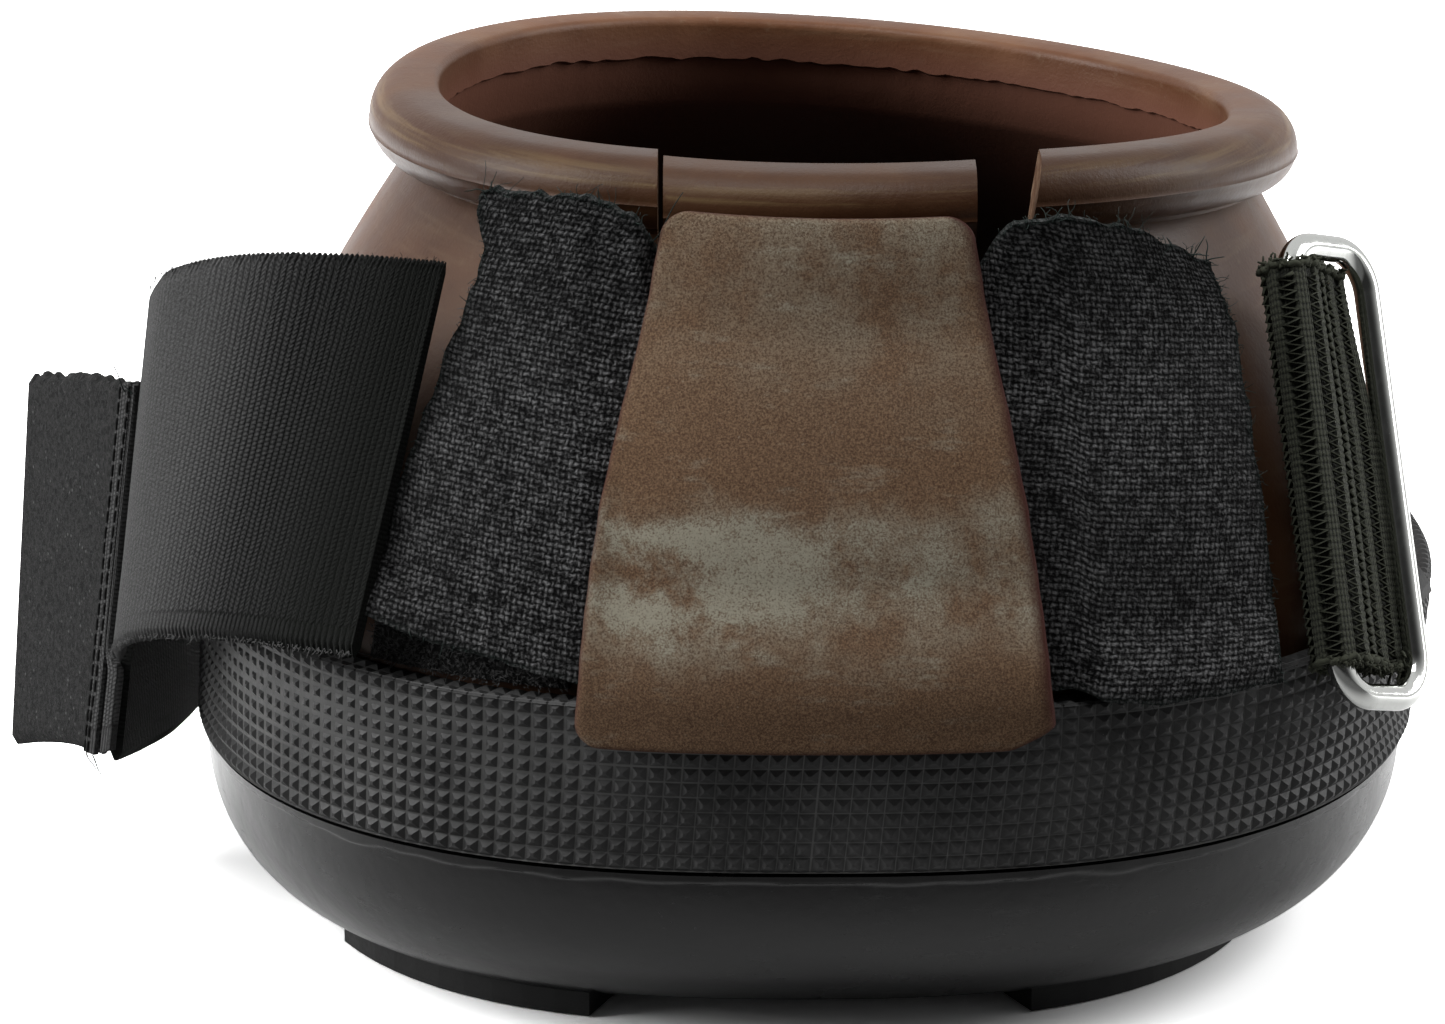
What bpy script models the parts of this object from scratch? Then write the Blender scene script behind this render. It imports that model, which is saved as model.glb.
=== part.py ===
"""Rubber boot for a horse's hoof, with an opening front flap, a strap and a strap ring.

Metres, +Z up. The origin lies on the ground under the middle of the sole.
The toe points to -Y, and the strap with its hook tab is on the -X side.
"""
import math

import bmesh
import bpy
from mathutils import Matrix, Vector

# Fits that every piece shares
clearance = 0.0003
cutter_overrun = 0.010
merge_distance = 0.000001
normal_turn = math.radians(1.0)
normal_climb_share = 0.01
side_limit_share = 0.999

# Sole cup: a rounded bowl with a ledge that carries the knurled band
sole_half_width = 0.0762
sole_front = 0.0798
sole_back = 0.0830
sole_squareness = 2.5
heel_taper_share = 0.20
taper_start_distance = 0.0300
taper_power = 1.5
tread_thickness = 0.0019
bowl_height = 0.0225
bowl_inset = 0.0250
bowl_squareness = 2.35
bowl_lean_distance = 0.0020
sole_shift_distance = 0.0014
bowl_curve_steps = 7
band_seat_depth = 0.0020
cup_wall = 0.0040
cup_floor = 0.0050
cup_wall_rise = 0.0150
cup_inner_corner = 0.0120
cup_corner_steps = 4

# Knurled band round the joint of sole and upper
band_thickness = 0.0028
band_height = 0.0205
band_flare = 0.0009
band_edge_round = 0.0009

# Rubber upper, a dome that closes in to a neck under the collar bead
upper_wall = 0.0030
neck_half_width = 0.0526
neck_front = 0.0530
neck_back = 0.0530
neck_squareness = 2.1
neck_right_offset = 0.0023
neck_front_offset = 0.0015
dome_fullness_power = 1.9
dome_taper_power = 1.1
dome_level_shares = (0.0, 0.12, 0.28, 0.42, 0.55, 0.66, 0.76, 0.85, 0.93, 1.0)

# Top of the collar bead: mean height, and how it tips and waves round the neck
collar_height = 0.1002
collar_right_depth = 0.0020
collar_back_depth = 0.0033
collar_saddle_depth = 0.0003
collar_twist_depth = 0.0010
bead_height = 0.0087
bead_reach = 0.00525
bead_inner_stand = 0.0005
bead_corner = 0.0012
bead_curve_steps = 6

# Front window of the upper, and the tongue that fills it
window_left = 0.0191
window_right_foot = 0.0195
window_right_neck = 0.0240
window_right_rim = 0.0285
window_foot_height = 0.0480
tongue_left = 0.0184
tongue_right = 0.0180
tongue_foot_gap = 0.0010
tongue_drop = 0.0020
flap_rest_angle = math.radians(4.0)

# Woven wings of the flap, and the loop pads under them
wing_thickness = 0.0016
wing_foot_share = 0.145
wing_top_share = 0.90
wing_left_foot_reach = 0.0472
wing_left_top_reach = 0.0376
wing_right_foot_reach = 0.0525
wing_right_top_reach = 0.0455
wing_middle_gap = 0.0006
wing_step_start = 0.0215
wing_step_length = 0.0070
wing_edge_power = 1.3
loop_pad_thickness = 0.0012
loop_pad_foot_share = 0.125
loop_pad_top_share = 0.84
loop_pad_inner = 0.0290
loop_pad_foot_reach = 0.0520
loop_pad_top_reach = 0.0400

# Rubber front patch, sewn over the wings
patch_thickness = 0.0028
patch_foot_half_width = 0.0270
patch_top_half_width = 0.0168
patch_side_bulge = 0.0026
patch_corner = 0.0030
patch_overhang = 0.0046
patch_top_share = 0.985
patch_bead_lap = 0.0036
patch_lap_start_share = 0.76
patch_left_offset = 0.0003
patch_top_right_offset = 0.0012
patch_torn_corner = 0.0028
patch_torn_start_share = 0.80
patch_corner_step_shares = (0.0, 0.12, 0.45, 1.0)
patch_band_hold_share = 1.00
patch_band_ease_share = 1.67

# Strap webbing and its hook tab, on the left
strap_width = 0.0480
strap_thickness = 0.0016
tab_width = 0.0480
tab_thickness = 0.0020
tab_length = 0.0270
tab_turn_angle = math.radians(42.0)
tab_foot_sag = 0.0060
tab_sag_power = 1.5
tab_station_shares = (0.0, 0.35, 0.70, 1.0)
# Stations along the strap: plan angle in degrees, stand-off from the band as a share of
# the strap's width, lower edge as a share of the band's top height, lean in degrees
strap_run_station_shares = (
    (161.0, 0.046, 0.465, 0.0),
    (167.0, 0.046, 0.450, 0.0),
    (174.0, 0.050, 0.435, 0.5),
    (181.0, 0.070, 0.430, 2.5),
    (188.0, 0.117, 0.440, 5.0),
    (195.0, 0.186, 0.460, 7.0),
)
strap_return_station_shares = (
    (195.3, 0.1875, 0.750, 7.1),
    (200.5, 0.214, 0.850, 9.0),
    (205.5, 0.185, 0.925, 12.0),
    (212.0, 0.125, 0.980, 15.0),
    (219.0, 0.076, 1.015, 19.0),
    (226.0, 0.058, 1.040, 22.0),
    (232.5, 0.052, 1.060, 25.0),
)
strap_steps_between = 4
strap_rows = 4

# Rubber patches on the upper that carry the strap and the elastic
anchor_thickness = 0.0015
anchor_left_angles = (158.0, 172.0)
anchor_right_angles = (-34.0, -23.0)
anchor_left_foot = 0.0311
anchor_left_height = 0.0400
anchor_right_foot = 0.0457
anchor_right_height = 0.0140
anchor_bridge = 0.0070

# Chrome ring and the elastic loop that holds its inner bar, on the right
ring_length = 0.0578
ring_width = 0.0185
ring_wire = 0.0032
ring_corner = 0.0052
elastic_wall = 0.0012
elastic_reach = 0.0138
elastic_loop_length = 0.0095
elastic_height = 0.0470
elastic_bar_clearance = 0.0004
elastic_bend = 0.0008
elastic_slot_share = 0.82
elastic_slot_tip = 0.0001
elastic_steps = 8
# Places off the upper's wall: plan angle in degrees, level share, and stand-off as a
# share of the ring's width. The ring and the elastic lie towards the last two.
ring_bar_foot_shares = (-47.12, 0.0565, 0.5283)
ring_bar_top_shares = (-38.45, 0.8329, 0.5655)
ring_far_shares = (-28.39, 0.3717, 0.4421)
elastic_far_shares = (-31.71, 0.3955, 0.3259)

# Tread pads and the insole
tread_ring_inset = 0.0145
tread_pad_depth = 0.0160
tread_pad_angles = (30.0, 67.0)
tread_toe_left_angle = 72.0
tread_edge_round = 0.0006
centre_pad_half_width = 0.0240
centre_pad_half_length = 0.0270
insole_thickness = 0.0040
insole_gap = 0.0025

# How finely the rings and sheets are divided
ring_steps = 72
arc_steps = 10
sheet_columns = 14
sheet_rows = 8
patch_columns = 16

# Heights and sizes that follow from the values above
underside = tread_thickness
ledge_height = underside + bowl_height
cup_top = ledge_height + cup_wall_rise
seat_half_width = sole_half_width - band_seat_depth
seat_front = sole_front - band_seat_depth
seat_back = sole_back - band_seat_depth
band_foot = ledge_height + clearance
band_top = band_foot + band_height
band_reach = clearance + band_thickness + band_flare
upper_foot = cup_top + clearance
floor_top = underside + cup_floor
patch_foot = band_top - patch_overhang
flap_axis_y = -(seat_front + band_reach + clearance + patch_thickness / 2)

parts = bpy.data.collections.new("hoof_boot")
cutters = bpy.data.collections.new("cutters")


def clear_scene():
    """Remove whatever the scene holds before the boot is made."""
    for old in list(bpy.data.objects):
        bpy.data.objects.remove(old, do_unlink=True)
    for collection in (parts, cutters):
        bpy.context.scene.collection.children.link(collection)


def material(name, color, roughness, metallic=0.0):
    """One Principled material."""
    made = bpy.data.materials.new(name)
    made.use_nodes = True
    shader = made.node_tree.nodes["Principled BSDF"]
    shader.inputs["Base Color"].default_value = (*color, 1.0)
    shader.inputs["Roughness"].default_value = roughness
    shader.inputs["Metallic"].default_value = metallic
    made.diffuse_color = (*color, 1.0)
    return made


def add_object(name, data, look=None, collection=parts):
    """Link new data to the scene as a named object."""
    made = bpy.data.objects.new(name, data)
    collection.objects.link(made)
    if look is not None:
        data.materials.append(look)
    return made


def finish_mesh(name, bm, look, collection=parts, sharp_angle=math.radians(40.0)):
    """Turn a bmesh into a smooth-shaded object whose faces point out."""
    bmesh.ops.remove_doubles(bm, verts=bm.verts, dist=merge_distance)
    bmesh.ops.recalc_face_normals(bm, faces=bm.faces)
    mesh = bpy.data.meshes.new(name)
    bm.to_mesh(mesh)
    bm.free()
    mesh.shade_smooth()
    mesh.set_sharp_from_angle(angle=sharp_angle)
    return add_object(name, mesh, look, collection)


def add_cutter(made):
    """Hide a cutting solid, so that only its cut shows."""
    made.hide_render = True
    made.display_type = "WIRE"
    return made


def cut(target, cutter, operation="DIFFERENCE"):
    """Cut one solid by another."""
    change = target.modifiers.new("cut by " + cutter.name, "BOOLEAN")
    change.operation = operation
    change.solver = "EXACT"
    change.object = cutter


def round_edges(target, radius, segments=2):
    """Round the sharp edges of a solid."""
    change = target.modifiers.new("rounded edges", "BEVEL")
    change.width = radius
    change.segments = segments
    change.limit_method = "ANGLE"
    change.angle_limit = math.radians(50.0)


def outline(angle, half_width, front, back, squareness, taper=0.0):
    """A point of the boot's plan: a rounded square that may narrow to the heel."""
    across = math.cos(angle)
    along = math.sin(angle)
    reach = back if along > 0 else front
    x = half_width * math.copysign(abs(across) ** (2 / squareness), across)
    y = reach * math.copysign(abs(along) ** (2 / squareness), along)
    behind = max((y + taper_start_distance) / (back + taper_start_distance), 0.0)
    return Vector((x * (1 - taper * behind ** taper_power), y, 0.0))


def side_shift(height):
    """How far the sole lies to the left at a height: none from the upper's foot upwards."""
    share = (upper_foot - height) / (upper_foot - ledge_height)
    return -sole_shift_distance * min(max(share, 0.0), 1.0)


def ring_angles():
    """The angles of the points of one ring, once round."""
    return [2 * math.pi * step / ring_steps for step in range(ring_steps)]


def sole_ring(offset, height, lean=0.0):
    """A ring of points parallel to the sole's outline, which may lean to one side."""
    points = []
    shift = Vector((side_shift(height) + lean, 0.0, height))
    for angle in ring_angles():
        point = outline(angle, sole_half_width + offset, sole_front + offset,
                        sole_back + offset, sole_squareness, heel_taper_share)
        points.append(point + shift)
    return points


def loft(name, rings, look, closed_profile, collection=parts):
    """Join rings of points to a solid: a closed sleeve, or a body with two flat ends."""
    bm = bmesh.new()
    loops = [[bm.verts.new(point) for point in ring] for ring in rings]
    count = len(loops)
    for index in range(count if closed_profile else count - 1):
        low = loops[index]
        high = loops[(index + 1) % count]
        for step in range(len(low)):
            following = (step + 1) % len(low)
            bm.faces.new((low[step], low[following], high[following], high[step]))
    if not closed_profile:
        bm.faces.new(loops[0])
        bm.faces.new(loops[-1])
    return finish_mesh(name, bm, look, collection)


def arc_shares(steps):
    """Shares of a quarter turn, from its start to its end."""
    return [step / steps for step in range(steps + 1)]


def bowl_rings(grow):
    """Rings up the outside of the bowl, from the underside to the ledge."""
    rings = []
    for share in arc_shares(bowl_curve_steps):
        turn = share * math.pi / 2
        inset = bowl_inset * (1 - math.sin(turn) ** (2 / bowl_squareness))
        height = underside + bowl_height * (1 - math.cos(turn) ** (2 / bowl_squareness))
        lean = -bowl_lean_distance * (1 - math.sin(turn))
        rings.append(sole_ring(grow - inset, height - grow * math.cos(turn), lean))
    return rings


def make_sole_cup(look):
    """The bowl, its ledge and wall, and the flat floor inside."""
    rings = bowl_rings(0.0)
    rings.append(sole_ring(-band_seat_depth, ledge_height))
    rings.append(sole_ring(-band_seat_depth, cup_top))
    inner = -(band_seat_depth + cup_wall)
    rings.append(sole_ring(inner, cup_top))
    for share in arc_shares(cup_corner_steps):
        turn = share * math.pi / 2
        inset = cup_inner_corner * (1 - math.cos(turn))
        height = floor_top + cup_inner_corner * (1 - math.sin(turn))
        rings.append(sole_ring(inner - inset, height))
    return loft("sole_cup", rings, look, closed_profile=False)


def make_foxing_band(look):
    """The band round the joint, with a slightly wider, rounded top edge."""
    inner = clearance - band_seat_depth
    outer = inner + band_thickness
    rings = [sole_ring(inner, band_foot), sole_ring(outer - band_edge_round, band_foot)]
    rings.append(sole_ring(outer, band_foot + band_edge_round))
    flare = band_flare * (upper_foot - band_foot) / band_height
    rings.append(sole_ring(outer + flare, upper_foot))
    rings.append(sole_ring(outer + band_flare, band_top - band_edge_round))
    rings.append(sole_ring(outer + band_flare - band_edge_round, band_top))
    rings.append(sole_ring(inner, band_top))
    rings.append(sole_ring(inner, upper_foot))
    return loft("foxing_band", rings, look, closed_profile=True)


def collar_top(angle):
    """Height of the collar's top at a plan angle."""
    tip = collar_right_depth * math.cos(angle) + collar_back_depth * math.sin(angle)
    wave = collar_saddle_depth * math.cos(2 * angle) + collar_twist_depth * math.sin(2 * angle)
    return collar_height - tip - wave


def wall_sizes(level):
    """Half width, front, back, squareness and shift of the upper at a level share."""
    swell = (1 - level ** dome_fullness_power) ** dome_taper_power
    half_width = neck_half_width + (seat_half_width - neck_half_width) * swell
    front = neck_front + (seat_front - neck_front) * swell
    back = neck_back + (seat_back - neck_back) * swell
    squareness = neck_squareness + (sole_squareness - neck_squareness) * swell
    shift = Vector((neck_right_offset, -neck_front_offset, 0.0)) * level ** 2
    return half_width, front, back, squareness, heel_taper_share * swell, shift


def wall_point(angle, level):
    """A point on the upper's outer face."""
    half_width, front, back, squareness, taper, shift = wall_sizes(level)
    point = outline(angle, half_width, front, back, squareness, taper) + shift
    neck_height = collar_top(angle) - bead_height
    point.z = upper_foot + level * (neck_height - upper_foot)
    return point


def wall_normal(angle, level):
    """The outward direction of the upper's outer face."""
    climb = 2 * normal_climb_share
    low = min(max(level - normal_climb_share, 0.0), 1.0 - climb)
    across = wall_point(angle + normal_turn, level) - wall_point(angle - normal_turn, level)
    along = wall_point(angle, low + climb) - wall_point(angle, low)
    return across.cross(along).normalized()


def off_wall(angle, level, offset):
    """A point at a distance from the upper's outer face."""
    return wall_point(angle, level) + wall_normal(angle, level) * offset


def collar_ring(reach, rise):
    """A ring of the collar bead: reach out from the neck, and rise from its middle."""
    points = []
    for angle in ring_angles():
        shift = Vector((neck_right_offset, -neck_front_offset, 0.0))
        point = outline(angle, neck_half_width + reach, neck_front + reach,
                        neck_back + reach, neck_squareness) + shift
        point.z = collar_top(angle) - bead_height / 2 + rise
        points.append(point)
    return points


def upper_rings():
    """Rings up the outside of the upper, round the D-shaped bead and down the inside."""
    rings = []
    for level in dome_level_shares[:-1]:
        rings.append([wall_point(angle, level) for angle in ring_angles()])
    radius = bead_height / 2
    middle = bead_reach - radius
    for share in arc_shares(bead_curve_steps):
        turn = (share - 0.5) * math.pi
        rings.append(collar_ring(middle + radius * math.cos(turn), radius * math.sin(turn)))
    inner = -(upper_wall + bead_inner_stand)
    rings.append(collar_ring(inner + bead_corner, radius))
    rings.append(collar_ring(inner, radius - bead_corner))
    rings.append(collar_ring(inner, bead_corner - radius))
    for level in reversed(dome_level_shares[:-1]):
        rings.append([off_wall(angle, level, -upper_wall) for angle in ring_angles()])
    flat_foot = [Vector((point.x, point.y, upper_foot)) for point in rings[-1]]
    rings[-1] = flat_foot
    return rings


def prism(name, corners, near, far):
    """A cutter: a polygon of (x, z) corners, run along Y."""
    bm = bmesh.new()
    face = bm.faces.new([bm.verts.new((x, near, z)) for x, z in corners])
    grown = bmesh.ops.extrude_face_region(bm, geom=[face])
    moved = [item for item in grown["geom"] if isinstance(item, bmesh.types.BMVert)]
    bmesh.ops.translate(bm, verts=moved, vec=(0.0, far - near, 0.0))
    return add_cutter(finish_mesh(name, bm, None, cutters))


def make_upper(look):
    """The upper, with its front window open to the top."""
    made = loft("upper", upper_rings(), look, closed_profile=True)
    top = collar_height + cutter_overrun * 2
    neck = collar_height - bead_height
    corners = (
        (-window_left, window_foot_height),
        (window_right_foot, window_foot_height),
        (window_right_neck, neck),
        (window_right_rim, top),
        (-window_left, top),
    )
    window = prism("window_cutter", corners, -(seat_front + cutter_overrun), 0.0)
    cut(made, window)
    return made


def make_tongue(look):
    """The tongue: the same rubber section, as narrow as the window."""
    lowered = [[point - Vector((0.0, 0.0, tongue_drop)) for point in ring] for ring in upper_rings()]
    made = loft("tongue", lowered, look, closed_profile=True)
    top = collar_height + cutter_overrun * 2
    foot = window_foot_height + tongue_foot_gap
    corners = ((-tongue_left, foot), (tongue_right, foot), (tongue_right, top), (-tongue_left, top))
    keep = prism("tongue_cutter", corners, -(seat_front + cutter_overrun), 0.0)
    cut(made, keep, "INTERSECT")
    return made, keep


def front_angle(x, level):
    """The plan angle at which the upper's front has this x at this level."""
    half_width, front, back, squareness, taper, shift = wall_sizes(level)
    share = min(abs(x - shift.x) / half_width, side_limit_share)
    across = math.copysign(share ** (squareness / 2), x - shift.x)
    return -math.acos(across)


def smooth_step(share):
    """A soft change from 0 to 1."""
    share = min(max(share, 0.0), 1.0)
    return share * share * (3 - 2 * share)


def sheet(name, place, thickness, look, columns=sheet_columns, rows=sheet_rows):
    """A bent sheet: a grid of points, thickened away from the boot."""
    bm = bmesh.new()
    grid = []
    for row in range(rows + 1):
        line = [bm.verts.new(place(column / columns, row / rows)) for column in range(columns + 1)]
        grid.append(line)
    for row in range(rows):
        for column in range(columns):
            bm.faces.new((grid[row][column], grid[row][column + 1],
                          grid[row + 1][column + 1], grid[row + 1][column]))
    mesh = bpy.data.meshes.new(name)
    bm.to_mesh(mesh)
    bm.free()
    mesh.shade_smooth()
    made = add_object(name, mesh, look)
    thick = made.modifiers.new("thickness", "SOLIDIFY")
    thick.thickness = thickness
    thick.offset = 1.0
    thick.use_quality_normals = True
    return made


def wing_offset(x):
    """How far a wing's inner face stands off the wall: it steps up on to the loop pad."""
    step = smooth_step((abs(x) - wing_step_start) / wing_step_length)
    return clearance + step * (loop_pad_thickness + clearance)


def make_wing(name, side, foot_reach, top_reach, look):
    """A woven wing, from behind the front patch round the side of the upper."""
    def place(u, v):
        level = wing_foot_share + (wing_top_share - wing_foot_share) * v
        reach = foot_reach + (top_reach - foot_reach) * v ** wing_edge_power
        inner = wing_middle_gap / 2
        near, far = (inner, reach) if side > 0 else (-reach, -inner)
        x = near + (far - near) * u
        return off_wall(front_angle(x, level), level, wing_offset(x))
    return sheet(name, place, wing_thickness, look, columns=sheet_columns * 2)


def make_loop_pad(name, side, look):
    """A loop-faced pad on the upper, under a wing."""
    def place(u, v):
        level = loop_pad_foot_share + (loop_pad_top_share - loop_pad_foot_share) * v
        reach = loop_pad_foot_reach + (loop_pad_top_reach - loop_pad_foot_reach) * v ** wing_edge_power
        near, far = (loop_pad_inner, reach) if side > 0 else (-reach, -loop_pad_inner)
        x = near + (far - near) * u
        return off_wall(front_angle(x, level), level, clearance)
    return sheet(name, place, loop_pad_thickness, look)


def patch_half_width(share, slant):
    """Half width of the front patch at a share of its height, with rounded corners."""
    straight = patch_foot_half_width + (patch_top_half_width - patch_foot_half_width) * share
    bulge = patch_side_bulge * math.sin(math.pi * share)
    from_end = min(share, 1 - share) * slant
    inside = max(patch_corner - from_end, 0.0)
    corner = patch_corner - math.sqrt(patch_corner ** 2 - inside ** 2)
    return straight + bulge - corner


def make_front_patch(look):
    """The rubber patch: over the band at its foot, close on the wings above it."""
    foot_level = (patch_foot - upper_foot) / (collar_height - bead_height - upper_foot)
    slant = collar_height - patch_foot
    round_share = patch_corner / slant
    steps = [round_share * step for step in patch_corner_step_shares]
    middle = [round_share + (1 - 2 * round_share) * step / sheet_rows for step in range(1, sheet_rows)]
    shares = steps + middle + [1 - step for step in reversed(steps)]

    def place(u, v):
        share = shares[round(v * (len(shares) - 1))]
        level = foot_level + (patch_top_share - foot_level) * share
        half = patch_half_width(share, slant)
        x = patch_top_right_offset * share - patch_left_offset + half * (2 * u - 1)
        torn = smooth_step((u - patch_torn_start_share) / (1 - patch_torn_start_share))
        torn *= smooth_step(1 - share * slant / patch_corner)
        x -= patch_torn_corner * torn
        lap = smooth_step((share - patch_lap_start_share) / (1 - patch_lap_start_share))
        stand = wing_offset(x) + wing_thickness + clearance + patch_bead_lap * lap
        point = off_wall(front_angle(x, level), level, stand)
        climb = (point.z - patch_foot) / patch_overhang
        over_band = smooth_step(1 + (patch_band_hold_share - climb) / patch_band_ease_share)
        point.y += (min(band_front(x), point.y) - point.y) * over_band
        return point
    return sheet("front_patch", place, patch_thickness, look, columns=patch_columns, rows=len(shares) - 1)


def band_front(x):
    """How far forward the band reaches at this x, with its running clearance."""
    reach = band_reach + clearance
    half_width = seat_half_width + reach
    share = min(abs(x) / half_width, side_limit_share)
    return -(seat_front + reach) * (1 - share ** sole_squareness) ** (1 / sole_squareness)


def off_band(angle, stand):
    """A plan point at a distance from the band's outer face, and the way out from it."""
    reach = band_reach
    sizes = (seat_half_width + reach, seat_front + reach, seat_back + reach,
             sole_squareness, heel_taper_share)
    along = outline(angle + normal_turn, *sizes) - outline(angle - normal_turn, *sizes)
    outward = Vector((along.y, -along.x, 0.0)).normalized()
    return outline(angle, *sizes) + outward * stand, outward


def strap_station(angle, stand, foot, lean):
    """The lower and upper edge of the strap at one station."""
    low, outward = off_band(math.radians(angle), stand * strap_width + strap_thickness / 2)
    low.z = foot * band_top
    low.x += side_shift(low.z)
    up = Vector((0.0, 0.0, math.cos(math.radians(lean))))
    high = low + (up - outward * math.sin(math.radians(lean))) * strap_width
    return low, high


def between(values, place):
    """A smooth value between stations: a Catmull-Rom curve through them."""
    last = len(values) - 1
    index = min(int(place), last - 1)
    share = place - index
    before = values[max(index - 1, 0)]
    start = values[index]
    end = values[index + 1]
    after = values[min(index + 2, last)]
    pull = (end - before) * 0.5
    push = (after - start) * 0.5
    cube = share ** 3
    square = share ** 2
    return (start * (2 * cube - 3 * square + 1) + pull * (cube - 2 * square + share)
            + end * (3 * square - 2 * cube) + push * (cube - square))


def webbing(name, stations, thickness, look):
    """A length of webbing that runs through its stations."""
    lows = [low for low, high in stations]
    highs = [high for low, high in stations]
    steps = (len(stations) - 1) * strap_steps_between

    def place(u, v):
        low = between(lows, u * (len(stations) - 1))
        high = between(highs, u * (len(stations) - 1))
        return low.lerp(high, v)
    made = sheet(name, place, thickness, look, columns=steps, rows=strap_rows)
    made.modifiers["thickness"].offset = 0.0
    return made


def make_hook_tab(seam_low, seam_high, run_direction, look):
    """The hook tab, from the seam outwards and back."""
    outward = Matrix.Rotation(tab_turn_angle, 3, "Z") @ -run_direction
    stations = []
    for share in tab_station_shares:
        shift = outward * (clearance * 3 + tab_thickness + tab_length * share)
        sag = Vector((0.0, 0.0, tab_foot_sag * share ** tab_sag_power))
        up = (seam_high - seam_low).normalized() * tab_width
        stations.append((seam_low + shift - sag, seam_low + up + shift - sag))
    return webbing("hook_tab", stations, tab_thickness, look)


def over_side(angle, height, stand):
    """A point that lies over the band and, above it, eases in to the upper's wall."""
    band_point = off_band(angle, stand)[0]
    band_point.z = height
    band_point.x += side_shift(height)
    neck_height = collar_top(angle) - bead_height
    level = max((height - upper_foot) / (neck_height - upper_foot), 0.0)
    ease = smooth_step((height - band_top - stand) / anchor_bridge)
    return band_point.lerp(off_wall(angle, level, stand), ease)


def make_anchor(name, angles, foot, height, look):
    """A rubber patch on the boot's side, under the end of the strap or the elastic."""
    first, last = (math.radians(angle) for angle in angles)

    def place(u, v):
        return over_side(first + (last - first) * u, foot + height * v, clearance)
    return sheet(name, place, anchor_thickness, look, rows=sheet_rows * 2)


def rounded_loop(length, width, corner):
    """Points of a rounded rectangle, round its own middle."""
    points = []
    centres = ((1, 1, 0), (-1, 1, 1), (-1, -1, 2), (1, -1, 3))
    for side_x, side_y, quarter in centres:
        for share in arc_shares(arc_steps // 2):
            turn = (quarter + share) * math.pi / 2
            x = side_x * (width / 2 - corner) + corner * math.cos(turn)
            y = side_y * (length / 2 - corner) + corner * math.sin(turn)
            points.append((x, y))
    return points


def add_spline(curve, points):
    """Add a closed run of straight segments to a curve."""
    spline = curve.splines.new("POLY")
    spline.points.add(len(points) - 1)
    for target, (x, y) in zip(spline.points, points):
        target.co = (x, y, 0.0, 1.0)
    spline.use_cyclic_u = True


def make_ring(frame, look):
    """The chrome wire ring: its inner bar lies on the frame's Z axis."""
    curve = bpy.data.curves.new("strap_ring", "CURVE")
    curve.dimensions = "3D"
    curve.bevel_depth = ring_wire / 2
    curve.bevel_resolution = 3
    points = rounded_loop(ring_length - ring_wire, ring_width - ring_wire, ring_corner)
    add_spline(curve, points)
    made = add_object("strap_ring", curve, look)
    middle = Matrix.Translation(((ring_width - ring_wire) / 2, 0.0, 0.0))
    made.matrix_world = frame @ Matrix.Rotation(math.pi / 2, 4, "X") @ middle
    return made


def elastic_middle(x):
    """How far the elastic has bent in to the boot at this distance from the bar."""
    return elastic_bend * (x / elastic_reach) ** 2


def teardrop(radius, end, thinnest):
    """Points of a loop that is round about the bar and thins out to its far end."""
    points = []
    for share in arc_shares(arc_steps):
        turn = (0.5 + share) * math.pi
        points.append((radius * math.cos(turn), radius * math.sin(turn)))
    sides = []
    for share in arc_shares(elastic_steps)[1:]:
        x = end * share
        thin = smooth_step(x / elastic_loop_length)
        sides.append((x, radius + (thinnest - radius) * thin))
    lower = [(x, elastic_middle(x) - half) for x, half in sides]
    upper = [(x, elastic_middle(x) + half) for x, half in reversed(sides)]
    return points + lower + upper


def make_elastic(frame, look):
    """The elastic: doubled round the ring's inner bar, its two layers sewn at the far end."""
    slot = ring_wire / 2 + elastic_bar_clearance
    outer = teardrop(slot + elastic_wall, elastic_reach, elastic_wall)
    inner = teardrop(slot, elastic_loop_length * elastic_slot_share, elastic_slot_tip)
    rings = []
    for points, side in ((outer, -1), (outer, 1), (inner, 1), (inner, -1)):
        rings.append([(x, y, side * elastic_height / 2) for x, y in points])
    made = loft("elastic_loop", rings, look, closed_profile=True)
    made.matrix_world = frame
    return made


def tread_outline(start, end):
    """Corners of a curved tread pad between two plan angles."""
    corners = []
    for inset, backwards in ((tread_ring_inset, False), (tread_ring_inset + tread_pad_depth, True)):
        sizes = (sole_half_width - inset, sole_front - inset, sole_back - inset,
                 sole_squareness, heel_taper_share)
        shares = arc_shares(arc_steps)
        if backwards:
            shares = reversed(shares)
        for share in shares:
            corner = outline(start + (end - start) * share, *sizes)
            corners.append(corner - Vector((bowl_lean_distance + sole_shift_distance, 0.0, 0.0)))
    return corners


def extruded(name, corners, height, look):
    """A flat outline, raised to a height."""
    bm = bmesh.new()
    face = bm.faces.new([bm.verts.new((corner.x, corner.y, 0.0)) for corner in corners])
    grown = bmesh.ops.extrude_face_region(bm, geom=[face])
    moved = [item for item in grown["geom"] if isinstance(item, bmesh.types.BMVert)]
    bmesh.ops.translate(bm, verts=moved, vec=(0.0, 0.0, height))
    return finish_mesh(name, bm, look)


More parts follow.
